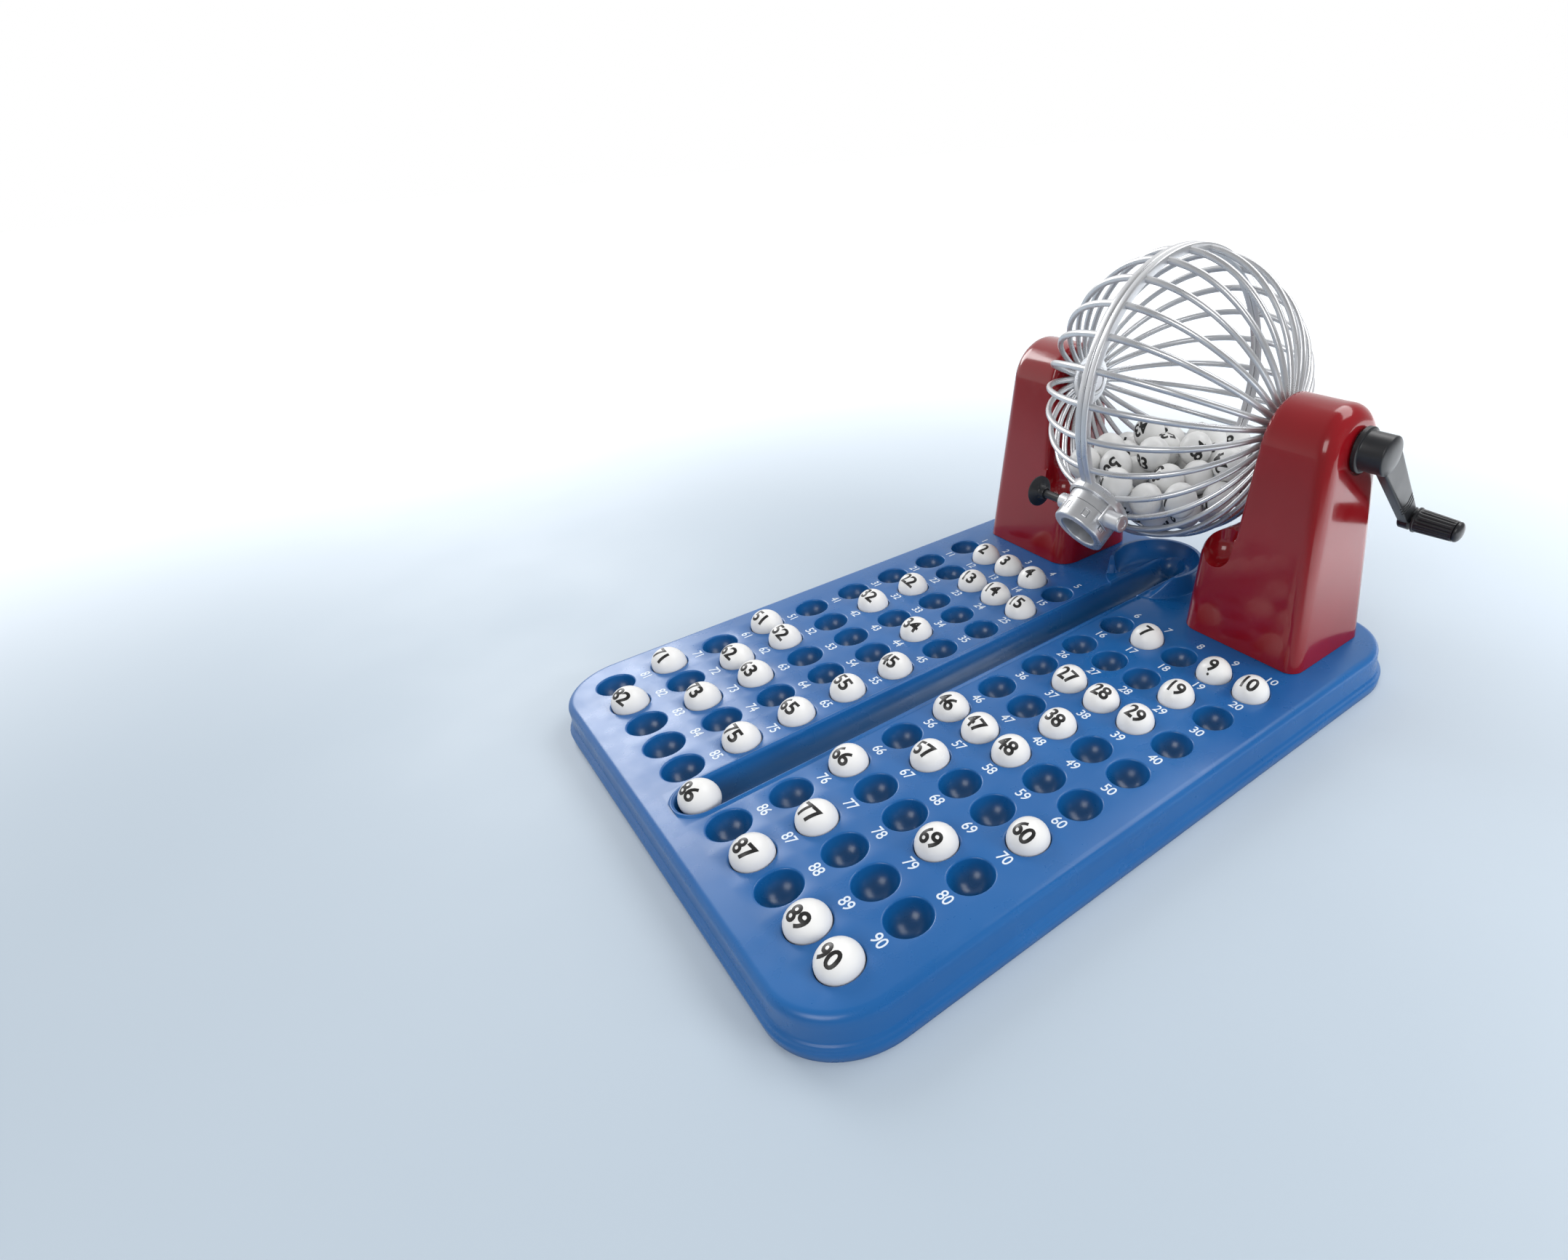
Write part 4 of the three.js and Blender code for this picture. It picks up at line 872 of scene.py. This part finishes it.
def section(rim, core, inner_at, inner_radius):
    """Points across the stand at one place of the outline: straight runs joined by quarter circles.

    rim is the outline's point and core the middle line's, both (y, z). inner_at gives the inner face's x by
    height. The first 14 points are the inner face and its edge, the next 14 the side, and 16 the outer face.
    """
    turn = np.linspace(0, np.pi / 2, 8)
    reach = np.linalg.norm(rim - core)
    inset = np.concatenate([
        np.linspace(reach, inner_radius, 7)[:-1], inner_radius * (1 - np.sin(turn)), np.zeros(14),
        outer_edge * (1 - np.cos(turn)), np.linspace(outer_edge, reach, 9)[1:]])
    point = rim + (core - rim) * (inset / reach)[:, None]
    inner = inner_at(point[:14, 1]) + np.concatenate([np.zeros(6), inner_radius * (1 - np.cos(turn))])
    outer = outer_x(point[28:, 1]) - np.concatenate([outer_edge * (1 - np.sin(turn)), np.zeros(8)])
    side = inner[-1] + (outer[0] - inner[-1]) * np.linspace(0, 1, 16)[1:-1]
    return np.column_stack([np.concatenate([inner, side, outer]), point])


def stand_grid():
    """Rows up the front, over the arch and down the rear; a short row under the foot closes both ends."""
    sides = []
    for base, start in ((base_front, arch_start), (base_rear, arch_end)):
        top = arc(arch_middle, arch_radius, start, start, 0)[0]
        rows = []
        for height, face, radius in inner_side():
            share = (height - seat) / (arch_middle[1] - seat)
            rim = np.array([base + (top[0] - base) * share, seat + (top[1] - seat) * share])
            core = np.array([base_middle + (arch_middle[0] - base_middle) * share, height])
            rows.append(section(rim, core, lambda z, face=face: np.full_like(z, face), radius))
        bottom = rows[0].copy()
        middle_x = bottom[:, 0].mean()
        bottom[:, 0] = middle_x + closing_width * (bottom[:, 0] - middle_x)
        bottom[:, 1] = base_middle
        sides.append(np.stack([bottom] + rows))
    arch_rows = [section(rim, arch_middle, tower_x, tower_edge)
                 for rim in arc(arch_middle, arch_radius, arch_start, arch_end, 40)[1:-1]]
    grid = np.concatenate([sides[0], np.stack(arch_rows), sides[1][::-1]])
    return grid + (0, axle[1], top_z)


right_grid = stand_grid()
print("stand grid:", right_grid.shape[:2])

# %% [markdown]
# Two things are cut from the finished skin with booleans: the bore for the bush with the round seat of the
# crank, and the scoop in the front of the foot. The scoop's tool is a profile carried along a path that
# goes in, turns half round, and comes out again.

# %% Cuts in the stands


def scoop_grid(middle_x, middle_z, radius, from_y, to_y, wall=25):
    """U-shaped tool: a quarter circle and a wall, carried along the left side, round the end and back."""
    turn = np.linspace(0, np.pi / 2, 13)
    quarter = np.stack([radius * np.sin(turn), -radius * np.cos(turn)], -1)
    profile = np.concatenate([quarter, [(radius, wall), (0, wall)]])
    end = np.linspace(0, np.pi, 25)
    halfway = (from_y + to_y) / 2
    path_x = np.concatenate([[-1, -1], -np.cos(end), [1, 1]])
    path_y = np.concatenate([[from_y, halfway], np.full(25, to_y), [halfway, from_y]])
    bulge = np.concatenate([[0, 0], np.sin(end), [0, 0]])
    x = middle_x + path_x[:, None] * profile[:, 0]
    y = path_y[:, None] + bulge[:, None] * profile[:, 0]
    z = np.repeat(middle_z + profile[None, :, 1], len(path_x), 0)
    grid = np.stack([x, y, z], -1)
    closing = grid[[0, -1]]
    closing[..., 0] = middle_x
    return np.concatenate([closing[:1], grid, closing[1:]])


def cut_away(build, tools):
    """The mesh less the tools, by Blender's exact boolean on temporary objects."""
    items = []
    for part in [build, *tools]:
        mesh = bpy.data.meshes.new("cutting")
        closed_outwards(part).to_mesh(mesh)
        part.free()
        items.append(add_object("cutting", mesh))
    for tool in items[1:]:
        modifier = items[0].modifiers.new("cut", "BOOLEAN")
        modifier.object = tool
        modifier.solver = "EXACT"
    evaluated = items[0].evaluated_get(bpy.context.evaluated_depsgraph_get())
    result = bmesh.new()
    result.from_mesh(evaluated.to_mesh())
    for item in items:
        bpy.data.objects.remove(item)
    return result


bore = [(40, 0), (40, 9.2), (121, 9.2), (121, 12.6), (150, 12.6), (150, 0)]
scoop = scoop_grid(67.9, top_z + 51.5, 10.3, axle[1] - 80, axle[1] - 31)
for name, side in (("right_stand", 1), ("left_stand", -1)):
    tools = [mesh_of_grids([lathe_x(bore, 96, axle)]), mesh_of_grids([scoop])]
    build = cut_away(mesh_of_grids([right_grid]), tools)
    if side < 0:
        bmesh.ops.scale(build, vec=(-1, 1, 1), verts=build.verts)
        bmesh.ops.reverse_faces(build, faces=build.faces)
    new_piece(name + "_skin", build, "base", stand_red, replaces=(name,), sharp=35)

# %% [markdown]
# ## Drum
# The drum is two silver mouldings. Each has half of the ring, twenty-eight wires that run like meridians
# to the hub, and the hub itself. A wire is a circle carried along a quarter of an ellipse: at each point
# the circle lies in the plane of the ellipse's normal and of the direction round the axle.

# %% Wires
outlet_angle = math.radians(-145.2)
wire_count = 28
wire_radius = 1.7
ellipse = np.array([75.52, 76.55])
ring_inner, ring_outer, ring_half = 74.8, 79.2, 4.3
seam = 0.15


def wire_grids():
    """The wires of one half: circles along an ellipse, across its normal, each turned about the axle."""
    grids = []
    number = np.arange(wire_count) + 0.5
    turn = outlet_angle + number * 2 * np.pi / wire_count
    beside_outlet = (number < 1) | (number > wire_count - 1)
    start = np.where(beside_outlet, math.asin(collar_clear / ellipse[0]), math.asin(ring_clear / ellipse[0]))
    around = np.linspace(0, 2 * np.pi, 11)
    for angle, first in zip(turn, start):
        along = np.linspace(first, hub_end, 26)[:, None]
        x, out = ellipse[0] * np.sin(along), ellipse[1] * np.cos(along)
        normal = np.hstack([np.sin(along) / ellipse[0], np.cos(along) / ellipse[1]])
        normal /= np.linalg.norm(normal, axis=1, keepdims=True)
        thick = wire_radius * (1 + flare * smooth_step(along, hub_end - flare_length, hub_end))
        tube_x = x + thick * np.cos(around) * normal[:, :1]
        tube_out = out + thick * np.cos(around) * normal[:, 1:]
        tube_side = thick * np.sin(around)
        grids.append(turned_x(np.stack([tube_x, tube_out, tube_side], -1), angle) + axle)
    return grids


collar_clear, ring_clear = 16.3, 2.2
hub_end, flare_length, flare = 1.385, 0.105, 0.25
wires = wire_grids()
print("wires per half:", len(wires))

# %% [markdown]
# The ring is a small rounded section carried round the axle, open where the outlet goes through it. The
# collar round the outlet is half a turn about the outlet's own axis, which points out along a radius.

# %% Ring, hub and collar


def in_outlet(points):
    """Points given as (x, across, out) of the outlet's own frame, moved to the drum."""
    return turned_x(np.asarray(points, float), outlet_angle - np.pi / 2) + axle


def lathe_outlet(profile, sides, start=0, end=2 * np.pi, shift=0):
    """Surface of revolution about the outlet's axis: each (radius, out) of the profile goes in a circle."""
    profile = np.asarray(profile, float)
    angle = np.linspace(start, end, sides + 1)
    out = np.repeat(profile[:, 1:], sides + 1, axis=1)
    ring = np.stack([profile[:, :1] * np.cos(angle) + shift, profile[:, :1] * np.sin(angle), out], -1)
    return in_outlet(ring)


def rounded_section(low, high, radius, steps=4):
    """Closed outline of a rectangle with rounded corners, between two opposite corners."""
    corners = [(high[0] - radius, low[1] + radius, -90), (high[0] - radius, high[1] - radius, 0),
               (low[0] + radius, high[1] - radius, 90), (low[0] + radius, low[1] + radius, 180)]
    loop = np.concatenate([arc((x, y), radius, start, start + 90, steps) for x, y, start in corners])
    return np.concatenate([loop, loop[:1]])


collar_inner, collar_outer = 17.3, 19.3
gap = math.asin(collar_inner / ((ring_inner + ring_outer) / 2))
ring_section = rounded_section((seam, ring_inner), (ring_half, ring_outer), 0.8)
ring = lathe_x(ring_section, 179, axle, outlet_angle + gap, outlet_angle + 2 * np.pi - gap)
hub_disc = rounded_section((72, 6.4), (76.5, 15.5), 0.8)
boss = rounded_section((67, 6.4), (73, 9), 0.7)
collar_section = rounded_section((collar_inner, 74.4), (collar_outer, 80), 0.5)
half_drum = [*wires, ring, lathe_x(hub_disc, 72, axle), lathe_x(boss, 56, axle),
             lathe_outlet(collar_section, 40, -np.pi / 2, np.pi / 2, seam)]


def closed_shells(grids):
    """Grids as shells: open ends are filled, and the faces of each shell point out."""
    build = mesh_of_grids(grids)
    bmesh.ops.holes_fill(build, edges=[edge for edge in build.edges if edge.is_boundary], sides=0)
    return closed_outwards(build)


for side, sign in (("right", 1), ("left", -1)):
    build = closed_shells([grid * (sign, 1, 1) for grid in half_drum])
    new_piece(side + "_drum_half", build, "drum", drum_silver, replaces=(side + "_cage_half",))

# %% [markdown]
# ## Outlet
# The outlet is a short tube split across its length. Its outer half, the cap, is held by eight snap tabs.
# Each tab shows as a U-shaped slit. The cap's outside is a fine grid of angle and length, and the slit is
# a groove in it: the distance to the tab's outline says how deep a point is pressed in. Between the two
# halves is a pocket, in which the plunger's ring slides, and a round hole lets its stem through the wall.

# %% Outlet tube and cap
tube_outer, tube_bore = 17.0, 11.5
outlet_start, outlet_gate, outlet_end = 74.4, 86.0, 98.0
pocket_radius, pocket_half = 16.2, 1.8
pocket_radius, pocket_half, split = 16.2, 1.8, 0.15
tab_count, tab_width, tab_length, tab_from_mouth = 8, 3.4, 4.6, 4.0
groove_deep, groove_half = 0.9, 0.38


def cap_profile():
    """(radius, out) round the cap's section: up the outside, over the rounded mouth and down the bore."""
    start, mouth_round, bore_round = outlet_gate + split, 1.2, 1.0
    outside = np.column_stack([np.full(56, tube_outer), np.linspace(start, outlet_end - mouth_round, 56)])
    mouth = arc((tube_outer - mouth_round, outlet_end - mouth_round), mouth_round, 0, 90, 6)[1:]
    inner = arc((tube_bore + bore_round, outlet_end - bore_round), bore_round, 90, 180, 5)
    bore_wall = [(tube_bore, outlet_end - 4), (tube_bore, outlet_gate + pocket_half)]
    pocket = [(pocket_radius, outlet_gate + pocket_half), (pocket_radius, start), (tube_outer, start)]
    return np.concatenate([outside, mouth, inner, bore_wall, pocket])


def cap_grid():
    """The cap with its tab slits: radius less a groove's depth, which falls off with distance from a tab."""
    profile = cap_profile()
    angle = np.linspace(0, 2 * np.pi, 481)
    pitch = 2 * np.pi / tab_count
    across = (np.mod(angle - 0.25 * pitch + pitch / 2, pitch) - pitch / 2) * tube_outer
    out = profile[:, 1:]
    top = outlet_end - tab_from_mouth
    side = np.abs(across) - tab_width / 2
    length = np.abs(out - (top - tab_length / 2)) - tab_length / 2
    outline = np.maximum(side, length)
    open_end = smooth_step(top - 0.4 - out, -0.3, 0.1)
    depth = groove_deep * (1 - smooth_step(np.abs(outline), 0.12, groove_half)) * open_end
    depth = depth * (profile[:, :1] > tube_outer - 0.01)
    radius = profile[:, :1] - depth
    grid = np.stack([radius * np.cos(angle), radius * np.sin(angle), np.repeat(out, len(angle), 1)], -1)
    return in_outlet(grid)


def rounded_block(low, high, radius, steps=4):
    """A block with rounded edges: a ball's grid of directions, each moved out to its corner of the block."""
    low, high = np.array(low, float), np.array(high, float)
    tiny = 1e-4
    quarter = np.linspace(tiny, np.pi / 2 - tiny, steps + 1)
    polar = np.concatenate([[0], quarter, np.pi / 2 + quarter, [np.pi]])[::-1, None]
    turn = np.concatenate([quarter + side * np.pi / 2 for side in range(4)] + [[2 * np.pi + tiny]])[None]
    direction = np.stack([np.sin(polar) * np.cos(turn), np.sin(polar) * np.sin(turn),
                          np.cos(polar) * np.ones_like(turn)], -1)
    inner = (high - low) / 2 - radius
    corner = np.clip(direction * 1e6, -inner, inner)
    return (low + high) / 2 + corner + radius * direction


stem_across = 6.0
body_end, pocket_floor = outlet_gate - split, outlet_gate - pocket_half
body_section = [(tube_bore, outlet_start), (tube_outer, outlet_start), (tube_outer, body_end),
                (pocket_radius, body_end), (pocket_radius, pocket_floor), (tube_bore, pocket_floor),
                (tube_bore, outlet_start)]
stem_hole = [(-21, 0), (-21, 2.75), (18.5, 2.75), (18.5, 0)]
guide = [(-20, 2.8), (-20, 4.1), (-19.5, 4.6), (-12.5, 4.6), (-12.5, 2.8), (-20, 2.8)]
pad_half = 5.5
pad = rounded_block((12.6, -pad_half, -pad_half), (17, pad_half, pad_half), 0.5)


def on_stem(grid):
    """A grid made about the X axis, moved to the line of the plunger's stem."""
    return in_outlet(grid + (0, stem_across, outlet_gate))


def with_stem_hole(grids):
    """Closed shells with the round hole for the plunger's stem cut through them."""
    return cut_away(closed_shells(grids), [mesh_of_grids([on_stem(lathe_x(stem_hole, 40))])])


tube_grids = [lathe_outlet(body_section, 96), on_stem(lathe_x(guide, 40)), on_stem(pad)]
new_piece("outlet_tube", with_stem_hole(tube_grids), "drum", drum_silver, replaces=("outlet_body",))
new_piece("outlet_mouth", with_stem_hole([cap_grid()]), "drum", drum_silver, replaces=("outlet_cap",))

# %% [markdown]
# On the crank's side a square plate carries the round housing of the return spring. Opposite it is the
# plunger's flared head, with four thin gussets between the head and the stem.

# %% Spring housing and plunger
barrel = [(17.6, 0), (17.6, 5), (28.6, 5), *arc((28.9, 3.9), 1.1, 90, 0, 5), (30, 2.6), (29.6, 2.3),
          (29.6, 0)]
plate = rounded_block((17.3, -pad_half, -pad_half), (18.9, pad_half, pad_half), 0.4)
housing_build = closed_shells([on_stem(lathe_x(barrel, 48)), on_stem(plate)])
new_piece("spring_barrel", housing_build, "drum", drum_silver, replaces=("spring_housing",))

head_end = -41.5
head = [(head_end, 0), (head_end, 8.4), (-41.1, 9), (-40.4, 8.9), (-39.6, 7.2), (-38.7, 5.2), (-37.9, 4.0),
        (-37.2, 3.6), (-34.9, 3.6), (-34.5, 3.3), (-34.5, 2.4), (-14, 2.4), (-14, 0)]
gate_radius, gate_shift = 10.7, -4.0
gate_section = rounded_section((gate_radius, outlet_gate - 1.5), (gate_radius + 1.2, outlet_gate + 1.5),
                               0.3, 2)
tail = [(5, 0), (5, 1.6), (17.9, 1.6), (17.9, 3.1), (18.9, 3.1), (18.9, 0)]


def gusset_grid(turn):
    """A thin triangular plate beside the stem: its half width falls along the stem from the head."""
    start, length = head_end + 0.3, 8.2
    along = np.linspace(start, start + length, 12)[:, None]
    half = 6.6 - 5.4 * (along - start) / length
    outline = rounded_section((-1, -0.5), (1, 0.5), 0.25, 2)
    across, thick = outline[:, 0] * half, outline[:, 1] * np.ones_like(half)
    return turned_x(np.stack([along * np.ones_like(across), across, thick], -1), turn)


stem_parts = [lathe_x(head, 56), lathe_x(tail, 24), gusset_grid(0), gusset_grid(np.pi / 2)]
plunger_parts = [lathe_outlet(gate_section, 64, shift=gate_shift), *(on_stem(grid) for grid in stem_parts)]
new_piece("plunger_rod", closed_shells(plunger_parts), "plunger", crank_black, replaces=("plunger",))

# %% [markdown]
# The return spring sits in the housing, behind the plunger's tail. Its wire is a circle carried along a
# helix about the stem's line.

# %% Return spring
spring_low, spring_high = (np.array(corner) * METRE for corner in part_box("return_spring"))
spring_wire, spring_turns = 0.3, 5


def coil_grid(start, end, radius, wire, turns):
    """Circles along a helix: x grows evenly with the turn, and each circle lies across the wire."""
    share = np.linspace(0, 1, turns * 20 + 1)[:, None]
    turn = 2 * np.pi * turns * share
    around = np.linspace(0, 2 * np.pi, 9)
    out = radius + wire * np.cos(around)
    x = start + wire + (end - start - 2 * wire) * share + wire * np.sin(around)
    return np.stack([x, out * np.cos(turn), out * np.sin(turn)], -1)


spring_radius = (spring_high[1] - spring_low[1]) / 2 - spring_wire
coil = coil_grid(spring_low[0], spring_high[0], spring_radius, spring_wire, spring_turns)
coil_piece = new_piece("spring_coil", closed_shells([on_stem(coil)]), "drum", axle_steel,
                       replaces=("return_spring",))
spring_anchor = (spring_low + spring_high) / 2
spring_anchor[0] = spring_high[0]
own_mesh(coil_piece)

# %% [markdown]
# ## Crank and grip
# The crank's arm is a rounded rectangle carried along its length: the width tapers, and the last part
# closes by a superellipse, which gives a square end with soft corners. Three chevron grooves are pressed
# into its face by the distance to a V-shaped line.

# %% Crank
crank_turn = math.radians(-45)
crank_back = axle[0] + 121.8
crank_length = float(np.hypot(crank_end[1] - axle[1], crank_end[2] - axle[2]))
arm_back, arm_face = 131.32, 137.72
arm_root, arm_tip, arm_edge = 8.0, 4.8, 1.3
groove_count, groove_pitch, groove_depth, groove_lean = 3, 2.7, 0.8, 5.2 / 16


def arm_grid():
    """Rounded rectangles along the arm; the face is pressed in along three V-shaped lines.

    across and push place a point of the section, in half widths and in parts of the edge's radius, and drop
    says how far it lies behind the face. The four edges follow each other round the section.
    """
    ending = np.linspace(0, np.pi / 2, 14)[1:]
    along = np.concatenate([np.linspace(0, 38, 14), np.arange(38.2, 56, 0.2), np.linspace(56, 64, 8)[1:],
                            64 + arm_tip * np.sin(ending)])[:, None]
    half = arm_root + (arm_tip - arm_root) * np.clip(along / crank_length, 0, 1)
    beyond = np.clip((along - crank_length) / arm_tip, 0, 1)
    half = half * (1 - beyond**3.2) ** (1 / 3.2)
    face, flat_end = np.linspace(-1, 1, 17), np.ones(2)
    turn = np.linspace(0, np.pi / 2, 6)[1:-1]
    rising, falling, edge = np.sin(turn), np.cos(turn), np.ones(len(turn))
    across = np.concatenate([face, edge, flat_end, edge, face[::-1], -edge, -flat_end, -edge])
    push = np.concatenate([0 * face, rising, flat_end, falling, 0 * face, -rising, -flat_end, -falling])
    drop = np.concatenate([0 * face, 1 - falling, flat_end, 1 - rising] * 2) * arm_edge
    upper = np.repeat([True, False, True], [22, 27, 5])
    soft = np.minimum(arm_edge, half)
    wide = across * (half - soft) + push * soft
    high = np.where(upper, arm_face - drop, arm_back + drop)
    groove = 0
    for index in range(groove_count):
        line = crank_length - 18.5 + index * groove_pitch - groove_lean * np.abs(wide)
        groove = groove + groove_depth * (1 - smooth_step(np.abs(along - line), 0.2, 0.55))
    high = high - groove * upper * (drop < 0.6)
    grid = np.stack([high * np.ones_like(wide), along * np.ones_like(wide), wide], -1)
    return np.concatenate([grid, grid[:, :1]], axis=1)


def on_crank(grid):
    """A grid of the crank's own frame, with the arm along Y, turned to the crank's angle at the axle."""
    return turned_x(grid, crank_turn) + (0, axle[1], axle[2])


hub = [(crank_back, 0), (crank_back, 11.2), (124.0, 11.2), (124.4, 10.8), (124.6, 9.9), (125.2, 9.7),
       (136.6, 9.7), *arc((136.6, 8.5), 1.2, 90, 20, 4)[1:], (138.5, 7.0), (138.9, 4.5), (139.02, 2.0),
       (139.02, 0)]
end_boss = [(arm_back, 0), (arm_back, 5.7), (arm_back + 0.5, 6.2), (arm_face - 0.4, 6.2),
            (arm_face + 0.1, 5.7), (arm_face + 0.1, 0)]
at_grip = (0, crank_length, 0)
crank_parts = [lathe_x(hub, 72), arm_grid(), lathe_x(end_boss, 48, at_grip)]
new_piece("crank_arm", closed_shells([on_crank(grid) for grid in crank_parts]), "drum", crank_black,
          replaces=("crank",))

# %% [markdown]
# The grip is a loose sleeve that turns on a pin while the fingers hold it. Its flutes could be a bump in
# the finish, but they show in its outline, so the radius itself dips at equal angles. The dips fade out
# near both ends, as a mould leaves them, and the pin's domed end closes the sleeve.

# %% Grip
grip_start, grip_end = arm_face + 1.5, arm_face + 24.0
grip_bore, flutes = 3.3, 18
grip_sides = flutes * 12


def fluted_grid():
    """Radius by length and angle: a straight taper, with grooves that fade out near both ends."""
    fine = np.linspace(grip_start + 1.8, grip_end - 0.6, 26)
    along = np.concatenate([fine, [grip_end - 0.2, grip_end]])[:, None]
    share = (along - grip_start) / (grip_end - grip_start)
    angle = np.linspace(0, 2 * np.pi, grip_sides + 1)
    wave = np.abs(np.sin(angle * flutes / 2)) ** 0.7
    fade = smooth_step(share, 0.08, 0.16) * (1 - smooth_step(share, 0.93, 0.99))
    radius = 6.4 - 0.9 * share - 0.5 * (1 - wave) * fade
    radius = np.where(along >= grip_end, radius - 0.4, radius)
    return np.stack([along * np.ones_like(radius), radius * np.cos(angle), radius * np.sin(angle)], -1)


collar_ring = lathe_x([(grip_start, grip_bore), (grip_start, 6.4), (grip_start + 0.4, 6.8),
                       (grip_start + 1.2, 6.8), (grip_start + 1.5, 6.3)], grip_sides)
bore_ring = lathe_x([(grip_end, grip_bore), (grip_start, grip_bore)], grip_sides)
grip_grid = np.concatenate([collar_ring, fluted_grid(), bore_ring])
new_piece("grip_sleeve", closed_shells([on_crank(grip_grid + at_grip)]), "grip", crank_black,
          replaces=("grip",))
cap_start = grip_end + 0.3
quarter = np.linspace(0, np.pi / 2, 9)
dome = np.stack([cap_start + 0.8 + 2.8 * np.sin(quarter), 5.4 * np.cos(quarter)], -1)
pin = [(arm_back + 2, 0), (arm_back + 2, 3), (cap_start, 3), (cap_start, 5.1), (cap_start + 0.3, 5.4), *dome]
new_piece("grip_end", closed_shells([on_crank(lathe_x(pin, 48, at_grip))]), "drum", crank_black,
          replaces=("grip_pin",))

# %% [markdown]
# The left axle ends in a small round cap. The bushes and the axles have the right shape already, and they
# sit inside the stands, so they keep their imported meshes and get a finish.

# %% Cap and the pieces that stay
cap = [(-123.3, 0), (-123.3, 6.3), (-121.8, 6.3), (-121.8, 9.6), (-122.1, 10), (-123.3, 10), (-124.2, 9.2),
       (-124.7, 7.6), (-124.8, 0)]
new_piece("axle_button", closed_shells([lathe_x(cap, 56, axle)]), "drum", crank_black,
          replaces=("left_axle_cap",))
kept_finishes = {"left_axle": axle_steel, "crank_shaft": axle_steel, "left_bush": bush_white,
                 "right_bush": bush_white}
for node, material in kept_finishes.items():
    item = frame["nodes"][node]
    item.data.materials.clear()
    item.data.materials.append(material)
print("kept nodes have finishes")

# %% [markdown]
# ## Floor, light and background
# A pale floor takes the shadows. Big soft lamps stand where a studio would put them: one above and behind,
# one on each side, and one by the camera. The world is white to the camera. Reflections see a white
# backdrop on the left and behind, and a dim room above and in front, so that hollows keep a deep colour.

# %% Floor
floor_reach = 6.0
floor_mesh = bpy.data.meshes.new("floor")
floor_corners = [(x * floor_reach, y * floor_reach, 0) for x, y in ((-1, -1), (1, -1), (1, 1), (-1, 1))]
floor_mesh.from_pydata(floor_corners, [], [(0, 1, 2, 3)])
floor = add_object("floor", floor_mesh)
floor_paper = finish("floor_paper", (0.43, 0.51, 0.59), (0.46, 0.54, 0.62), (0.5, 0.6), scales=(900, 1.5, 8))


def seen_by(tree, ray, when_seen, otherwise):
    """A number that is one value for one kind of ray and another for the rest; both may be sockets."""
    seen = add_node(tree, "LightPath").outputs[ray]
    return add_node(tree, "Mix", {"Factor": seen, "A": otherwise, "B": when_seen}).outputs["Result"]


def measured(tree, operation, inputs):
    """The number that a Vector Math node gives."""
    return add_node(tree, "VectorMath", inputs, operation=operation).outputs["Value"]


def fade_to_white(material):
    """Makes the floor glow white far from the middle, so that it has no edge in the picture.

    In reflections it glows to the rear right, where a bright screen stands in a studio.
    """
    tree = material.node_tree
    place = add_node(tree, "TexCoord").outputs["Object"]
    seen = graded(tree, measured(tree, "LENGTH", {0: place}), 0.25, 1.4, curve="SMOOTHSTEP")
    to_rear_right = measured(tree, "DOT_PRODUCT", {0: place, 1: (0.7, 0.7, 0)})
    mirrored = graded(tree, to_rear_right, 0.36, 0.62, 0, 1.7, curve="SMOOTHSTEP")
    glow = seen_by(tree, "Is Camera Ray", seen, seen_by(tree, "Is Glossy Ray", mirrored, 0.0))
    shader = tree.nodes["Principled BSDF"]
    set_inputs(tree, shader, {"Emission Strength": glow, "Emission Color": (1, 1, 1, 1)})


fade_to_white(floor_paper)
floor_mesh.materials.append(floor_paper)
print("floor", 2 * floor_reach, "m wide")

# %% [markdown]
# Lamps are area lights. Their size makes the soft edges of the shadows and the broad reflections.

# %% Lamps and world


def soft_box(name, place, aim, size, power):
    """A rectangular lamp at a place in metres that looks at the aim point."""
    data = bpy.data.lights.new(name, "AREA")
    data.shape = "RECTANGLE"
    data.size, data.size_y = size
    data.energy = power
    lamp = add_object(name, data)
    lamp.location = place
    towards = np.array(aim, float) - np.array(place, float)
    lamp.rotation_euler = [
        math.atan2(math.hypot(towards[0], towards[1]), -towards[2]), 0,
        math.atan2(towards[1], towards[0]) - math.pi / 2]
    lamp.visible_camera = False
    return lamp


soft_box("lamp_above", (0.1, 0.9, 1.0), (0, 0.2, 0), (1.0, 0.5), 5.5)
soft_box("lamp_left", (-1.2, 0.1, 0.75), (0, 0.25, 0.05), (0.5, 0.6), 7)
lamp_right = soft_box("lamp_right", (1.2, 0.75, 0.5), (0.1, 0.3, 0.08), (0.5, 0.5), 8)
lamp_right.visible_glossy = False
soft_box("lamp_front", (0.45, -0.9, 0.95), (0, 0.25, 0.05), (0.7, 0.6), 6)
world = bpy.data.worlds.new("studio")
bpy.context.scene.world = world
world.use_nodes = True
tree = world.node_tree
direction = add_node(tree, "TexCoord").outputs["Generated"]
to_backdrop = measured(tree, "DOT_PRODUCT", {0: direction, 1: (-0.8, 0.3, -0.5)})
mirrored_sky = graded(tree, to_backdrop, -0.3, 0.45, 0.25, 1.0, curve="SMOOTHSTEP")
strength = seen_by(tree, "Is Camera Ray", 1.0, seen_by(tree, "Is Glossy Ray", mirrored_sky, 0.52))
set_inputs(tree, tree.nodes["Background"], {"Strength": strength, "Color": (1, 1, 1, 1)})
bpy.context.scene.view_settings.view_transform = "Standard"
